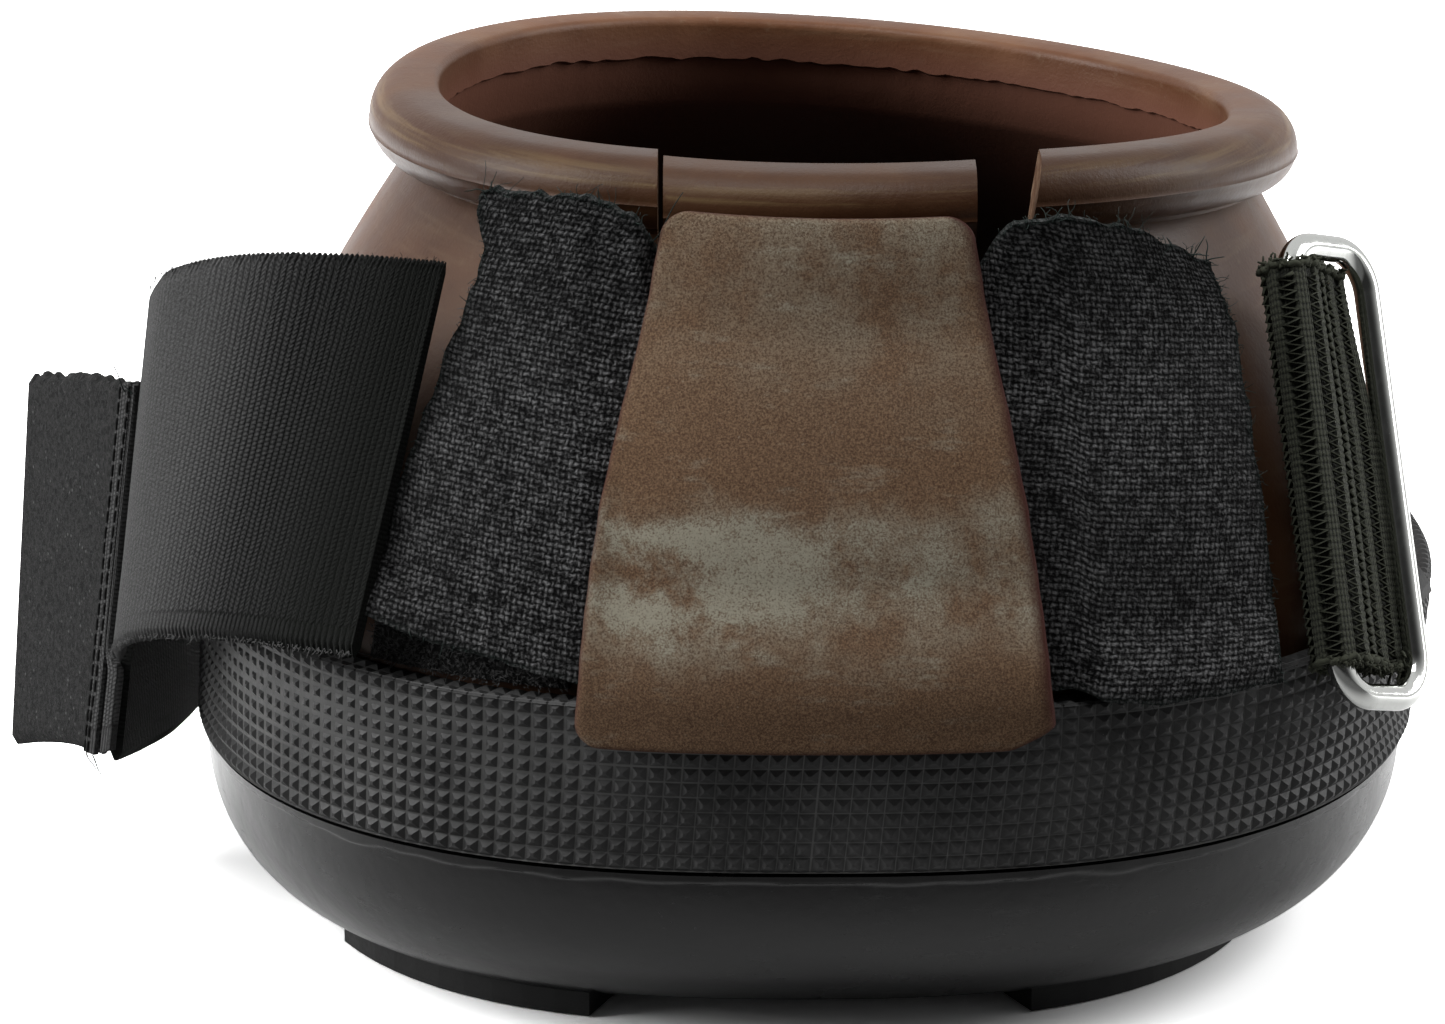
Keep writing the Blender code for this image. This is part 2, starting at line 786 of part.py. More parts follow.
def make_tread_pads(look):
    """Four corner pads that follow the bowl's underside, and one in the middle."""
    bowl = add_cutter(loft("bowl_cutter", bowl_rings(clearance), None, False, cutters))
    low, high = (math.radians(angle) for angle in tread_pad_angles)
    toe_left_end = math.radians(tread_toe_left_angle)
    places = (
        ("tread_pad_toe_right", -high, -low),
        ("tread_pad_toe_left", math.pi + low, math.pi + toe_left_end),
        ("tread_pad_heel_right", low, high),
        ("tread_pad_heel_left", math.pi - high, math.pi - low),
    )
    for name, start, end in places:
        pad = extruded(name, tread_outline(start, end), tread_thickness * 2, look)
        cut(pad, bowl)
    middle = [outline(angle, centre_pad_half_width, centre_pad_half_length,
                      centre_pad_half_length, sole_squareness) for angle in ring_angles()[::2]]
    centre = extruded("tread_pad_centre", middle, tread_thickness - clearance, look)
    round_edges(centre, tread_edge_round)


def make_insole(look):
    """A flat pad on the floor of the cup."""
    inner = -(band_seat_depth + cup_wall + cup_inner_corner + insole_gap)
    foot = floor_top + clearance
    rings = [sole_ring(inner, foot), sole_ring(inner, foot + insole_thickness)]
    return loft("insole", rings, look, closed_profile=False)


def axis_empty(name, place, direction=None):
    """An empty on a joint's axis: its Z axis lies along the joint where one is given."""
    empty = add_object(name, None)
    turn = Matrix.Identity(4)
    if direction is not None:
        turn = direction.to_track_quat("Z", "Y").to_matrix().to_4x4()
    empty.matrix_world = Matrix.Translation(place) @ turn
    return empty


def hang(empty, made):
    """Fix an object to a joint's empty where it is."""
    made.parent = empty
    made.matrix_parent_inverse = empty.matrix_world.inverted()


def make_flap(rubber, weave):
    """The front flap: tongue, wings and patch, a little open at rest."""
    pieces = list(make_tongue(rubber))
    pieces.append(make_wing("wing_left", -1, wing_left_foot_reach, wing_left_top_reach, weave))
    pieces.append(make_wing("wing_right", 1, wing_right_foot_reach, wing_right_top_reach, weave))
    pieces.append(make_front_patch(rubber))
    hinge = axis_empty("flap_hinge", Vector((0.0, flap_axis_y, patch_foot)))
    for piece in pieces:
        hang(hinge, piece)
    hinge.rotation_euler = (flap_rest_angle, 0.0, 0.0)


def make_strap(webbing_look, hook_look):
    """The strap: its run from the rear anchor, its return layer and the hook tab."""
    run = [strap_station(*station) for station in strap_run_station_shares]
    back = [strap_station(*station) for station in strap_return_station_shares]
    strap_run = webbing("strap_run", run, strap_thickness, webbing_look)
    strap_return = webbing("strap_return", back, strap_thickness, webbing_look)
    seam_low, seam_high = run[-1]
    direction = (seam_low - run[-2][0])
    direction.z = 0.0
    tab = make_hook_tab(seam_low, seam_high, direction.normalized(), hook_look)
    seam_axis = (seam_high - seam_low).normalized()
    swing = axis_empty("strap_swing", run[0][0], Vector((0.0, 0.0, 1.0)))
    outward = off_band(math.radians(strap_run_station_shares[-1][0]), 0.0)[1]
    fold_place = (seam_low + back[0][0]) / 2 + outward * strap_thickness / 2
    fold = axis_empty("strap_fold", fold_place, seam_axis)
    tab_flex = axis_empty("tab_flex", seam_low, seam_axis)
    hang(swing, fold)
    hang(swing, tab_flex)
    hang(swing, strap_run)
    hang(fold, strap_return)
    hang(tab_flex, tab)


def bar_frame(middle, along, lie):
    """A frame at the bar's middle: Z along the bar, X in the direction of the lie."""
    across = (lie - along * lie.dot(along)).normalized()
    turn = Matrix((across, along.cross(across), along)).transposed()
    return Matrix.Translation(middle) @ turn.to_4x4()


def by_wall(place):
    """A point off the upper's wall, from a row of the ring's places."""
    angle, level, stand = place
    return off_wall(math.radians(angle), level, stand * ring_width)


def make_ring_and_elastic(chrome, elastic_look):
    """The ring on its bar in the elastic, which leaves the upper's right side."""
    foot = by_wall(ring_bar_foot_shares)
    top = by_wall(ring_bar_top_shares)
    along = (top - foot).normalized()
    middle = (foot + top) / 2
    ring = make_ring(bar_frame(middle, along, by_wall(ring_far_shares) - middle), chrome)
    elastic_frame = bar_frame(middle, along, by_wall(elastic_far_shares) - middle)
    elastic = make_elastic(elastic_frame, elastic_look)
    far_end = elastic_frame @ Vector((elastic_reach, elastic_bend, 0.0))
    pivot = axis_empty("ring_pivot", middle, along)
    anchor = axis_empty("elastic_swing", far_end, along)
    hang(anchor, pivot)
    hang(anchor, elastic)
    hang(pivot, ring)


def build():
    """Make every piece of the boot."""
    clear_scene()
    brown = material("brown rubber", (0.105, 0.045, 0.032), 0.42)
    black = material("black rubber", (0.012, 0.012, 0.013), 0.25)
    knurled = material("knurled rubber", (0.020, 0.020, 0.021), 0.55)
    matte = material("matte rubber", (0.022, 0.022, 0.022), 0.80)
    weave = material("woven cloth", (0.018, 0.019, 0.020), 0.85)
    loops = material("loop pile", (0.014, 0.014, 0.014), 0.95)
    ribbed = material("strap webbing", (0.016, 0.016, 0.018), 0.75)
    olive = material("elastic", (0.016, 0.018, 0.012), 0.80)
    chrome = material("chrome", (0.75, 0.75, 0.76), 0.12, 1.0)
    felt = material("insole foam", (0.030, 0.028, 0.026), 0.90)
    make_sole_cup(black)
    make_foxing_band(knurled)
    make_tread_pads(matte)
    make_insole(felt)
    make_upper(brown)
    make_loop_pad("loop_pad_left", -1, loops)
    make_loop_pad("loop_pad_right", 1, loops)
    make_anchor("anchor_patch_left", anchor_left_angles, anchor_left_foot,
                anchor_left_height, matte)
    make_anchor("anchor_patch_right", anchor_right_angles, anchor_right_foot,
                anchor_right_height, matte)
    make_flap(brown, weave)
    make_strap(ribbed, loops)
    make_ring_and_elastic(chrome, olive)


build()
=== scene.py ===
"""Looks of a rubber hoof boot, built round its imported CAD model. Metres, +Z up, toe to -Y."""

import math

import bmesh
import bpy
import numpy as np
from mathutils import Matrix, Vector


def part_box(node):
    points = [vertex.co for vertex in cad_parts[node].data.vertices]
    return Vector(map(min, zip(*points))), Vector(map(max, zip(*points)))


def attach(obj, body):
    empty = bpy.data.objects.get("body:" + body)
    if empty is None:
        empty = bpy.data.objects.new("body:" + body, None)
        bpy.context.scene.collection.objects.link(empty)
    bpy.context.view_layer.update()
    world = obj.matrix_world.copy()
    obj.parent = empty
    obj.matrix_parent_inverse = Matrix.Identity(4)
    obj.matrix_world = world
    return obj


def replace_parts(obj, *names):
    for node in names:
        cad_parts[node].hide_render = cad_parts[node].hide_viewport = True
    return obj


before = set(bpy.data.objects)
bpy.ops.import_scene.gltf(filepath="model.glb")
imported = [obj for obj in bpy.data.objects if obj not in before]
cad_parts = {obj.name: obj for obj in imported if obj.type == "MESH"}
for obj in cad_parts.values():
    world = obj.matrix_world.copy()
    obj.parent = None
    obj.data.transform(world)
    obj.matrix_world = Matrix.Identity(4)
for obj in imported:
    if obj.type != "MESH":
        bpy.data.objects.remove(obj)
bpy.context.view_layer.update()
chance = np.random.default_rng(11)

# The boot's own sizes, as the CAD model has them
clearance = 0.0003
sole_half_width, sole_front, sole_back = 0.0762, 0.0798, 0.0830
sole_squareness, heel_taper, taper_start, taper_power = 2.5, 0.20, 0.0300, 1.5
underside, bowl_height, bowl_inset, bowl_squareness, bowl_lean = 0.0019, 0.0225, 0.0250, 2.35, 0.0020
sole_shift, seat_depth, cup_wall, cup_floor, cup_corner = 0.0014, 0.0020, 0.0040, 0.0050, 0.0120
ledge, cup_top, band_foot, band_top, upper_foot = 0.0244, 0.0394, 0.0247, 0.0452, 0.0397
band_thickness, band_flare, band_reach = 0.0028, 0.0009, 0.0040
seat_half_width, seat_front, seat_back = 0.0742, 0.0778, 0.0810
wall_thickness, neck_half_width, neck_front, neck_back, neck_squareness = 0.0030, 0.0526, 0.0530, 0.0530, 2.1
neck_right, neck_ahead, dome_fullness, dome_taper = 0.0023, 0.0015, 1.9, 1.1
collar_height, bead_height, bead_reach, bead_stand, bead_corner = 0.1002, 0.0087, 0.00525, 0.0005, 0.0012
window_left, window_foot, window_neck, window_rim, window_low = 0.0191, 0.0195, 0.0240, 0.0285, 0.0480
tongue_left, tongue_right, tongue_low, tongue_drop = 0.0184, 0.0180, 0.0490, 0.0020
flap_place, flap_angle = Vector((0.0, -0.0835, 0.0406)), math.radians(4.0)
wing_thickness, wing_power = 0.0014, 1.3
pad_thickness, pad_foot, pad_top, pad_inner = 0.0012, 0.108, 0.84, 0.0290
patch_thickness, patch_foot = 0.0028, 0.0406
strap_width, strap_thickness = 0.0480, 0.0016
tab_thickness, tab_length, tab_turn, tab_sag = 0.0020, 0.0270, math.radians(42.0), 0.0060
ring_width, ring_wire, elastic_lane = 0.0185, 0.0032, 0.0038
ring_length, ring_corner = 0.0578, 0.0052
elastic_wall, elastic_reach, elastic_loop, elastic_height = 0.0012, 0.0138, 0.0095, 0.0470
run_stations = ((161.0, 0.046, 0.430, 0.0), (167.0, 0.046, 0.375, 0.0), (174.0, 0.050, 0.335, 0.5),
                (181.0, 0.070, 0.350, 2.5), (188.0, 0.117, 0.400, 5.0), (195.0, 0.186, 0.460, 7.0))
return_stations = ((195.3, 0.1875, 0.750, 7.1), (200.5, 0.214, 0.850, 9.0), (205.5, 0.185, 0.925, 12.0),
                   (212.0, 0.125, 0.980, 15.0), (219.0, 0.076, 1.015, 19.0), (226.0, 0.058, 1.040, 22.0),
                   (232.5, 0.052, 1.060, 25.0))
tau = 2 * math.pi


# Shapes that the CAD model and the looks share

def vec(x, y, z):
    """Points from their three coordinates, each a number or an array."""
    return np.stack(np.broadcast_arrays(np.asarray(x, float), y, z), -1)


def unit(v):
    """Directions of length one."""
    return v / np.maximum(np.linalg.norm(v, axis=-1, keepdims=True), 1e-12)


def ease(share):
    """A soft change from 0 to 1."""
    share = np.clip(share, 0.0, 1.0)
    return share * share * (3 - 2 * share)


def outline(angle, half_width, front, back, squareness, taper=0.0):
    """The boot's plan: a rounded square that may narrow to the heel."""
    across, along = np.cos(angle), np.sin(angle)
    reach = np.where(along > 0, back, front)
    x = half_width * np.sign(across) * np.abs(across) ** (2 / squareness)
    y = reach * np.sign(along) * np.abs(along) ** (2 / squareness)
    behind = np.maximum((y + taper_start) / (back + taper_start), 0.0)
    return vec(x * (1 - taper * behind ** taper_power), y, 0.0)


def sole_point(angle, offset, height, lean=0.0):
    """A point of a ring parallel to the sole's outline."""
    offset, height = np.asarray(offset, float), np.asarray(height, float)
    shift = -sole_shift * np.clip((upper_foot - height) / (upper_foot - ledge), 0.0, 1.0)
    plan = outline(angle, sole_half_width + offset, sole_front + offset, sole_back + offset,
                   sole_squareness, heel_taper)
    return plan + vec(shift + lean, 0.0, height)


def collar_top(angle):
    """Height of the collar's top at a plan angle."""
    tip = 0.0020 * np.cos(angle) + 0.0033 * np.sin(angle)
    return collar_height - tip - 0.0003 * np.cos(2 * angle) - 0.0010 * np.sin(2 * angle)


def wall_sizes(level):
    """Half width, front, back, squareness, taper and shift of the upper at a level share."""
    swell = (1 - np.clip(level, 0.0, 1.0) ** dome_fullness) ** dome_taper
    shift = vec(neck_right, -neck_ahead, 0.0) * np.asarray(level, float)[..., None] ** 2
    return (neck_half_width + (seat_half_width - neck_half_width) * swell,
            neck_front + (seat_front - neck_front) * swell, neck_back + (seat_back - neck_back) * swell,
            neck_squareness + (sole_squareness - neck_squareness) * swell, heel_taper * swell, shift)


def wall_point(angle, level):
    """A point on the upper's outer face."""
    angle, level = np.broadcast_arrays(np.asarray(angle, float), np.asarray(level, float))
    half_width, front, back, squareness, taper, shift = wall_sizes(level)
    point = outline(angle, half_width, front, back, squareness, taper) + shift
    point[..., 2] = upper_foot + level * (collar_top(angle) - bead_height - upper_foot)
    return point


def off_wall(angle, level, offset):
    """A point at a distance from the upper's outer face."""
    turn, climb = math.radians(1.0), 0.02
    low = np.clip(np.asarray(level, float) - climb / 2, 0.0, 1.0 - climb)
    across = wall_point(angle + turn, level) - wall_point(angle - turn, level)
    along = wall_point(angle, low + climb) - wall_point(angle, low)
    return wall_point(angle, level) + unit(np.cross(across, along)) * np.asarray(offset)[..., None]


def front_angle(x, level):
    """The plan angle at which the upper's front has this x."""
    half_width, front, back, squareness, taper, shift = wall_sizes(level)
    share = np.minimum(np.abs(x - shift[..., 0]) / half_width, 0.999)
    return -np.arccos(np.sign(x - shift[..., 0]) * share ** (squareness / 2))


def collar_ring(angle, reach, rise):
    """A point of the collar bead: reach out from the neck, and rise from its middle."""
    plan = outline(angle, neck_half_width + reach, neck_front + reach, neck_back + reach, neck_squareness)
    point = plan + vec(neck_right, -neck_ahead, 0.0)
    point[..., 2] = collar_top(angle) - bead_height / 2 + rise
    return point


def off_band(angle, stand):
    """A plan point at a distance from the band's outer face, and the way out from it."""
    sizes = (seat_half_width + band_reach, seat_front + band_reach, seat_back + band_reach,
             sole_squareness, heel_taper)
    turn = math.radians(1.0)
    along = outline(angle + turn, *sizes) - outline(angle - turn, *sizes)
    outward = unit(vec(along[..., 1], -along[..., 0], 0.0))
    return outline(angle, *sizes) + outward * np.asarray(stand)[..., None], outward


def strap_station(angle, stand, foot, lean):
    """The lower and upper edge of the strap at one station, and the way out."""
    low, outward = off_band(math.radians(angle), stand * strap_width + strap_thickness / 2)
    low[2] = foot * band_top
    low[0] -= sole_shift * min(max((upper_foot - low[2]) / (upper_foot - ledge), 0.0), 1.0)
    tilt = math.radians(lean)
    up = np.array((0.0, 0.0, math.cos(tilt))) - outward * math.sin(tilt)
    return low, low + up * strap_width


def between(values, place):
    """Smooth values between stations: a Catmull-Rom curve through them."""
    values, place = np.asarray(values, float), np.asarray(place, float)
    last = len(values) - 1
    index = np.minimum(place.astype(int), last - 1)
    share = (place - index)[..., None]
    before, start = values[np.maximum(index - 1, 0)], values[index]
    end, after = values[index + 1], values[np.minimum(index + 2, last)]
    pull, push, cube, square = (end - before) / 2, (after - start) / 2, share ** 3, share ** 2
    return (start * (2 * cube - 3 * square + 1) + pull * (cube - 2 * square + share)
            + end * (3 * square - 2 * cube) + push * (cube - square))


# Making objects

def add_object(name, data):
    """An object that is linked to the scene."""
    made = bpy.data.objects.new(name, data)
    bpy.context.scene.collection.objects.link(made)
    return made


def add_mesh(name, verts, faces, look, uv=None, sharp=40.0):
    """An object from points and faces, with a UV in metres where one is given."""
    mesh = bpy.data.meshes.new(name)
    mesh.from_pydata([tuple(v) for v in np.asarray(verts, float).reshape(-1, 3).tolist()], [], faces)
    mesh.validate()
    mesh.update()
    if uv is not None:
        layer = mesh.uv_layers.new(name="UVMap")
        corner = np.zeros(len(mesh.loops), np.int32)
        mesh.loops.foreach_get("vertex_index", corner)
        layer.data.foreach_set("uv", np.asarray(uv, np.float32).reshape(-1, 2)[corner].ravel())
    mesh.shade_smooth()
    if sharp is not None:
        mesh.set_sharp_from_angle(angle=math.radians(sharp))
    made = add_object(name, mesh)
    if look is not None:
        mesh.materials.append(look)
    return made


def mark(made, name, values):
    """A number at every point, which the materials read."""
    layer = made.data.attributes.new(name, "FLOAT", "POINT")
    layer.data.foreach_set("value", np.asarray(values, np.float32).ravel())


def grid_faces(rows, columns, wrap_rows=False, wrap_columns=False, start=0):
    """Faces of a grid of points, row by row."""
    r = np.arange(rows if wrap_rows else rows - 1)
    c = np.arange(columns if wrap_columns else columns - 1)
    r, c = np.meshgrid(r, c, indexing="ij")
    r2, c2 = (r + 1) % rows, (c + 1) % columns
    quads = np.stack([r * columns + c, r * columns + c2, r2 * columns + c2, r2 * columns + c], -1)
    return (quads.reshape(-1, 4) + start).tolist()


def capped_faces(rows, columns, start=0):
    """Faces of a stack of rings, closed by one face at each end."""
    last = start + (rows - 1) * columns
    return grid_faces(rows, columns, wrap_columns=True, start=start) + [
        [start + i for i in reversed(range(columns))], [last + i for i in range(columns)]]


def share_grid(rows, columns):
    """Shares from 0 to 1 down the rows and along the columns of a grid."""
    return np.meshgrid(np.linspace(0, 1, rows), np.linspace(0, 1, columns), indexing="ij")


def length_along(points):
    """The length of a line of points, from its start to each of them."""
    return np.concatenate([[0.0], np.linalg.norm(np.diff(points, axis=0), axis=-1).cumsum()])


def placed(points, matrix):
    """Points moved by a matrix of four rows."""
    return points @ matrix[:3, :3].T + matrix[:3, 3]


def round_section(line, side, up, radius, sides):
    """Rings of points round a line."""
    turns = (np.arange(sides) * tau / sides)[None, :, None]
    return line[:, None] + radius * (side[:, None] * np.cos(turns) + up * np.sin(turns))


def sheet_mesh(name, outer, inner, look, uv, sharp=40.0):
    """A closed sheet from the grids of its two faces."""
    rows, columns = outer.shape[:2]
    count = rows * columns
    faces = grid_faces(rows, columns)
    faces += [[i + count for i in reversed(f)] for f in faces]
    rim = ([r * columns for r in range(rows)] + [(rows - 1) * columns + c for c in range(1, columns)]
           + [r * columns + columns - 1 for r in range(rows - 2, -1, -1)] + list(range(columns - 2, 0, -1)))
    for a, b in zip(rim, rim[1:] + rim[:1]):
        faces.append([a, b, b + count, a + count])
    verts = np.concatenate([outer.reshape(-1, 3), inner.reshape(-1, 3)])
    return add_mesh(name, verts, faces, look, np.concatenate([uv.reshape(-1, 2)] * 2), sharp)


def grid_normals(points):
    """Normals of a grid of points."""
    across = np.gradient(points, axis=1)
    along = np.gradient(points, axis=0)
    return unit(np.cross(across, along))


def metre_uv(points):
    """Coordinates in metres along the rows and columns of a grid of points."""
    u = np.concatenate([np.zeros((len(points), 1)),
                        np.linalg.norm(np.diff(points, axis=1), axis=-1).cumsum(1)], 1)
    v = np.concatenate([np.zeros((1, points.shape[1])),
                        np.linalg.norm(np.diff(points, axis=0), axis=-1).cumsum(0)], 0)
    u -= u[:, :1] + (u[:, -1:] - u[:, :1]) / 2
    return np.stack([u, np.broadcast_to(v, u.shape)], -1)


def apply_change(made, change):
    """Make a modifier's result the object's own mesh."""
    bpy.context.view_layer.update()
    mesh = bpy.data.meshes.new_from_object(made.evaluated_get(bpy.context.evaluated_depsgraph_get()))
    made.modifiers.remove(change)
    made.data = mesh


def cut(made, corners, operation):
    """Cut an object by a polygon of (x, z) corners that runs along Y."""
    count = len(corners)
    verts = [(x, y, z) for y in (-0.12, 0.0) for x, z in corners]
    faces = [list(range(count)), list(range(2 * count - 1, count - 1, -1))]
    faces += [[(i + 1) % count, i, i + count, (i + 1) % count + count] for i in range(count)]
    tool = add_mesh("cutting_tool", verts, faces, None, sharp=None)
    bm = bmesh.new()
    bm.from_mesh(tool.data)
    bmesh.ops.recalc_face_normals(bm, faces=bm.faces)
    bm.to_mesh(tool.data)
    bm.free()
    change = made.modifiers.new("cut", "BOOLEAN")
    change.operation, change.solver, change.object = operation, "EXACT", tool
    apply_change(made, change)
    bpy.data.objects.remove(tool, do_unlink=True)
    made.data.shade_smooth()
    made.data.set_sharp_from_angle(angle=math.radians(38.0))
    layer = made.data.attributes.new("cut_face", "FLOAT", "CORNER")
    for face in made.data.polygons:
        if face.center.y < -0.02 and max(abs(face.normal.x), -face.normal.z) > 0.93 and face.area > 8e-6:
            for loop in face.loop_indices:
                layer.data[loop].value = 1.0


def turn_flap(points):
    """Points of the front flap, turned with it to its rest place."""
    c, s = math.cos(flap_angle), math.sin(flap_angle)
    rel = points - np.array(flap_place)
    turned = np.stack([rel[..., 0], rel[..., 1] * c - rel[..., 2] * s, rel[..., 1] * s + rel[..., 2] * c], -1)
    return turned + np.array(flap_place)


def wobble(shape, size, passes):
    """Smooth seeded noise on a grid, from about -1 to 1 times its size."""
    noise = chance.standard_normal(shape)
    for _ in range(passes):
        for axis in range(len(shape)):
            noise = (np.roll(noise, 1, axis) + 2 * noise + np.roll(noise, -1, axis)) / 4
    return noise / max(np.abs(noise).max(), 1e-9) * size


def tube_set(name, paths, radius, look, sides=5, tip=0.55):
    """Thin round threads along paths of points, as one mesh."""
    verts, faces = [], []
    for path in paths:
        path = np.asarray(path, float)
        along = unit(np.gradient(path, axis=0))
        side = unit(np.cross(along, np.array((0.31, 0.52, 0.79))))
        up = np.cross(along, side)
        thin = np.linspace(1.0, tip, len(path))[:, None, None] * radius
        faces += capped_faces(len(path), sides, len(verts))
        verts += round_section(path, side, up[:, None], thin, sides).reshape(-1, 3).tolist()
    return add_mesh(name, verts, faces, look, sharp=None)


# Materials

def grey(value):
    """A colour without a hue."""
    return (value,) * 3


class Look:
    """A material and its nodes."""

    def __init__(self, name, **sockets):
        self.made = bpy.data.materials.new(name)
        self.made.use_nodes = True
        self.tree = self.made.node_tree
        self.shader = self.tree.nodes["Principled BSDF"]
        for key, value in sockets.items():
            self.shader.inputs[key.replace("_", " ")].default_value = value
        place = self.tree.nodes.new("ShaderNodeTexCoord").outputs
        self.spot, self.flat = place["Object"], place["UV"]

    def put(self, socket, value):
        """Link a value, or set it where it is plain."""
        if isinstance(value, bpy.types.NodeSocket):
            self.tree.links.new(value, socket)
        elif isinstance(value, tuple) and len(value) == 3 and len(socket.default_value) == 4:
            socket.default_value = (*value, 1.0)
        else:
            socket.default_value = value

    def math(self, operation, *values):
        """The result of a math node."""
        node = self.tree.nodes.new("ShaderNodeMath")
        node.operation = operation
        for socket, value in zip(node.inputs, values):
            self.put(socket, value)
        return node.outputs[0]

    def times(self, a, b):
        """A product."""
        return self.math("MULTIPLY", a, b)

    def plus(self, a, b):
        """A sum."""
        return self.math("ADD", a, b)

    def minus(self, a, b):
        """A difference."""
        return self.math("SUBTRACT", a, b)

    def times_plus(self, a, b, c):
        """A product and a sum: a times b, plus c."""
        return self.math("MULTIPLY_ADD", a, b, c)

    def wave(self, along, pitch):
        """A sine that crosses nothing at every pitch."""
        return self.math("SINE", self.times(along, math.pi / pitch))

    def ribs(self, along, pitch):
        """Round ribs, one to a pitch."""
        return self.math("ABSOLUTE", self.wave(along, pitch))

    def shaken(self, value, scale, size):
        """A coordinate moved about by noise."""
        return self.plus(value, self.times(self.minus(self.noise(scale, 3, 0.6), 0.5), size))

    def split(self, vector):
        """A vector's three numbers."""
        node = self.tree.nodes.new("ShaderNodeSeparateXYZ")
        self.put(node.inputs[0], vector)
        return node.outputs

    def scaled(self, vector, scale, turn=(0.0, 0.0, 0.0)):
        """A vector with its own scale along each axis."""
        node = self.tree.nodes.new("ShaderNodeMapping")
        self.put(node.inputs["Vector"], vector)
        node.inputs["Scale"].default_value = scale
        node.inputs["Rotation"].default_value = turn
        return node.outputs[0]

    def noise(self, scale, detail=3.0, rough=0.55, vector=None, distortion=0.0):
        """Noise over the object, or over the vector given."""
        node = self.tree.nodes.new("ShaderNodeTexNoise")
        self.put(node.inputs["Vector"], self.spot if vector is None else vector)
        for key, value in (("Scale", scale), ("Detail", detail), ("Roughness", rough), ("Distortion", distortion)):
            node.inputs[key].default_value = value
        return node.outputs["Fac"]

    def streaks(self, scale, detail, rough, turn=(0.0, 0.0, 0.0)):
        """Noise over the object that is drawn out along some axes."""
        return self.noise(1.0, detail, rough, self.scaled(self.spot, scale, turn))

    def attribute(self, name):
        """A number that mark() left on the points."""
        node = self.tree.nodes.new("ShaderNodeAttribute")
        node.attribute_name = name
        return node.outputs["Fac"]

    def cells(self, scale, randomness=1.0):
        """Distance to the nearest of many scattered points."""
        node = self.tree.nodes.new("ShaderNodeTexVoronoi")
        self.put(node.inputs["Vector"], self.spot)
        node.inputs["Scale"].default_value = scale
        node.inputs["Randomness"].default_value = randomness
        return node.outputs["Distance"]

    def span(self, value, low, high, to_low=0.0, to_high=1.0):
        """A soft change from one number to another while the value goes from low to high."""
        node = self.tree.nodes.new("ShaderNodeMapRange")
        node.interpolation_type = "SMOOTHSTEP"
        for key, number in zip(("Value", "From Min", "From Max", "To Min", "To Max"),
                               (value, low, high, to_low, to_high)):
            self.put(node.inputs[key], number)
        return node.outputs[0]

    def blend(self, share, a, b, kind="MIX"):
        """A colour between two others."""
        node = self.tree.nodes.new("ShaderNodeMix")
        node.data_type, node.blend_type = "RGBA", kind
        self.put(node.inputs["Factor"], share)
        self.put(node.inputs[6], a)
        self.put(node.inputs[7], b)
        return node.outputs[2]

    def tint(self, color, by):
        """A colour times another."""
        return self.blend(1.0, color, by, "MULTIPLY")

    def bump(self, height, distance, strength=1.0, under=None):
        """A normal from a height, over another normal where one is given."""
        node = self.tree.nodes.new("ShaderNodeBump")
        self.put(node.inputs["Height"], height)
        node.inputs["Distance"].default_value = distance
        node.inputs["Strength"].default_value = strength
        if under is not None:
            self.put(node.inputs["Normal"], under)
        return node.outputs[0]

    def finish(self, **links):
        """Set the shader's sockets and give the material."""
        for key, value in links.items():
            self.put(self.shader.inputs[key.replace("_", " ")], value)
        return self.made


def brown_look():
    """Reddish-brown moulded rubber, dusty and rubbed pale on its edges; painted highlight on the bead, painted light
    and shade front to back, painted shade inside.
    """
    look = Look("brown_rubber", Specular_IOR_Level=0.22)
    patches, fine = look.noise(45, 5, 0.6), look.noise(420, 4, 0.65)
    streaks = look.streaks((55, 55, 620), 4, 0.6)
    color = look.blend(look.span(patches, 0.36, 0.66), (0.062, 0.023, 0.010), (0.098, 0.041, 0.019))
    color = look.blend(look.span(streaks, 0.50, 0.74, 0.0, 0.42), color, (0.125, 0.070, 0.040))
    color = look.blend(look.span(fine, 0.58, 0.76, 0.0, 0.28), color, (0.150, 0.098, 0.062))
    # Rub wear along the bead and a broad painted highlight on its upper side, broken up by streaks.
    rubbed = look.span(look.streaks((30, 30, 900), 5, 0.7), 0.42, 0.66)
    worn_and_highlight = look.times(look.attribute("wear_and_highlight"), rubbed)
    color = look.blend(look.times(worn_and_highlight, 0.62), color, (0.25, 0.165, 0.085))
    # Painted light and shade: the front is tinted darker and the back lighter, as the light falls on them.
    y = look.split(look.spot)[1]
    color = look.blend(look.span(y, -0.055, 0.045), look.tint(color, (0.70, 0.71, 0.62)),
                       look.tint(color, (2.00, 2.15, 2.30)))
    raw = look.blend(look.span(fine, 0.35, 0.68), (0.085, 0.038, 0.020), (0.22, 0.140, 0.088))
    color = look.blend(look.attribute("cut_face"), color, raw)
    # Painted shade inside the shell, darker towards the bottom.
    z = look.split(look.spot)[2]
    deep = look.blend(look.span(z, 0.060, 0.092), (0.0300, 0.0160, 0.0120), (0.180, 0.078, 0.052))
    color = look.blend(look.attribute("inside"), color, deep)
    scratches = look.span(look.streaks((900, 900, 90), 5, 0.8, (0.4, 0.3, 0.8)), 0.60, 0.66, 0.0, 0.6)
    rough = look.plus(look.span(patches, 0.3, 0.7, 0.36, 0.48), look.times(scratches, 0.12))
    height = look.plus(look.times(fine, 0.6), look.noise(1900, 3, 0.7))
    return look.finish(Base_Color=color, Roughness=rough,
                       Normal=look.bump(height, 0.00006, 0.8, look.bump(look.noise(70, 3, 0.5), 0.0004, 0.6)))


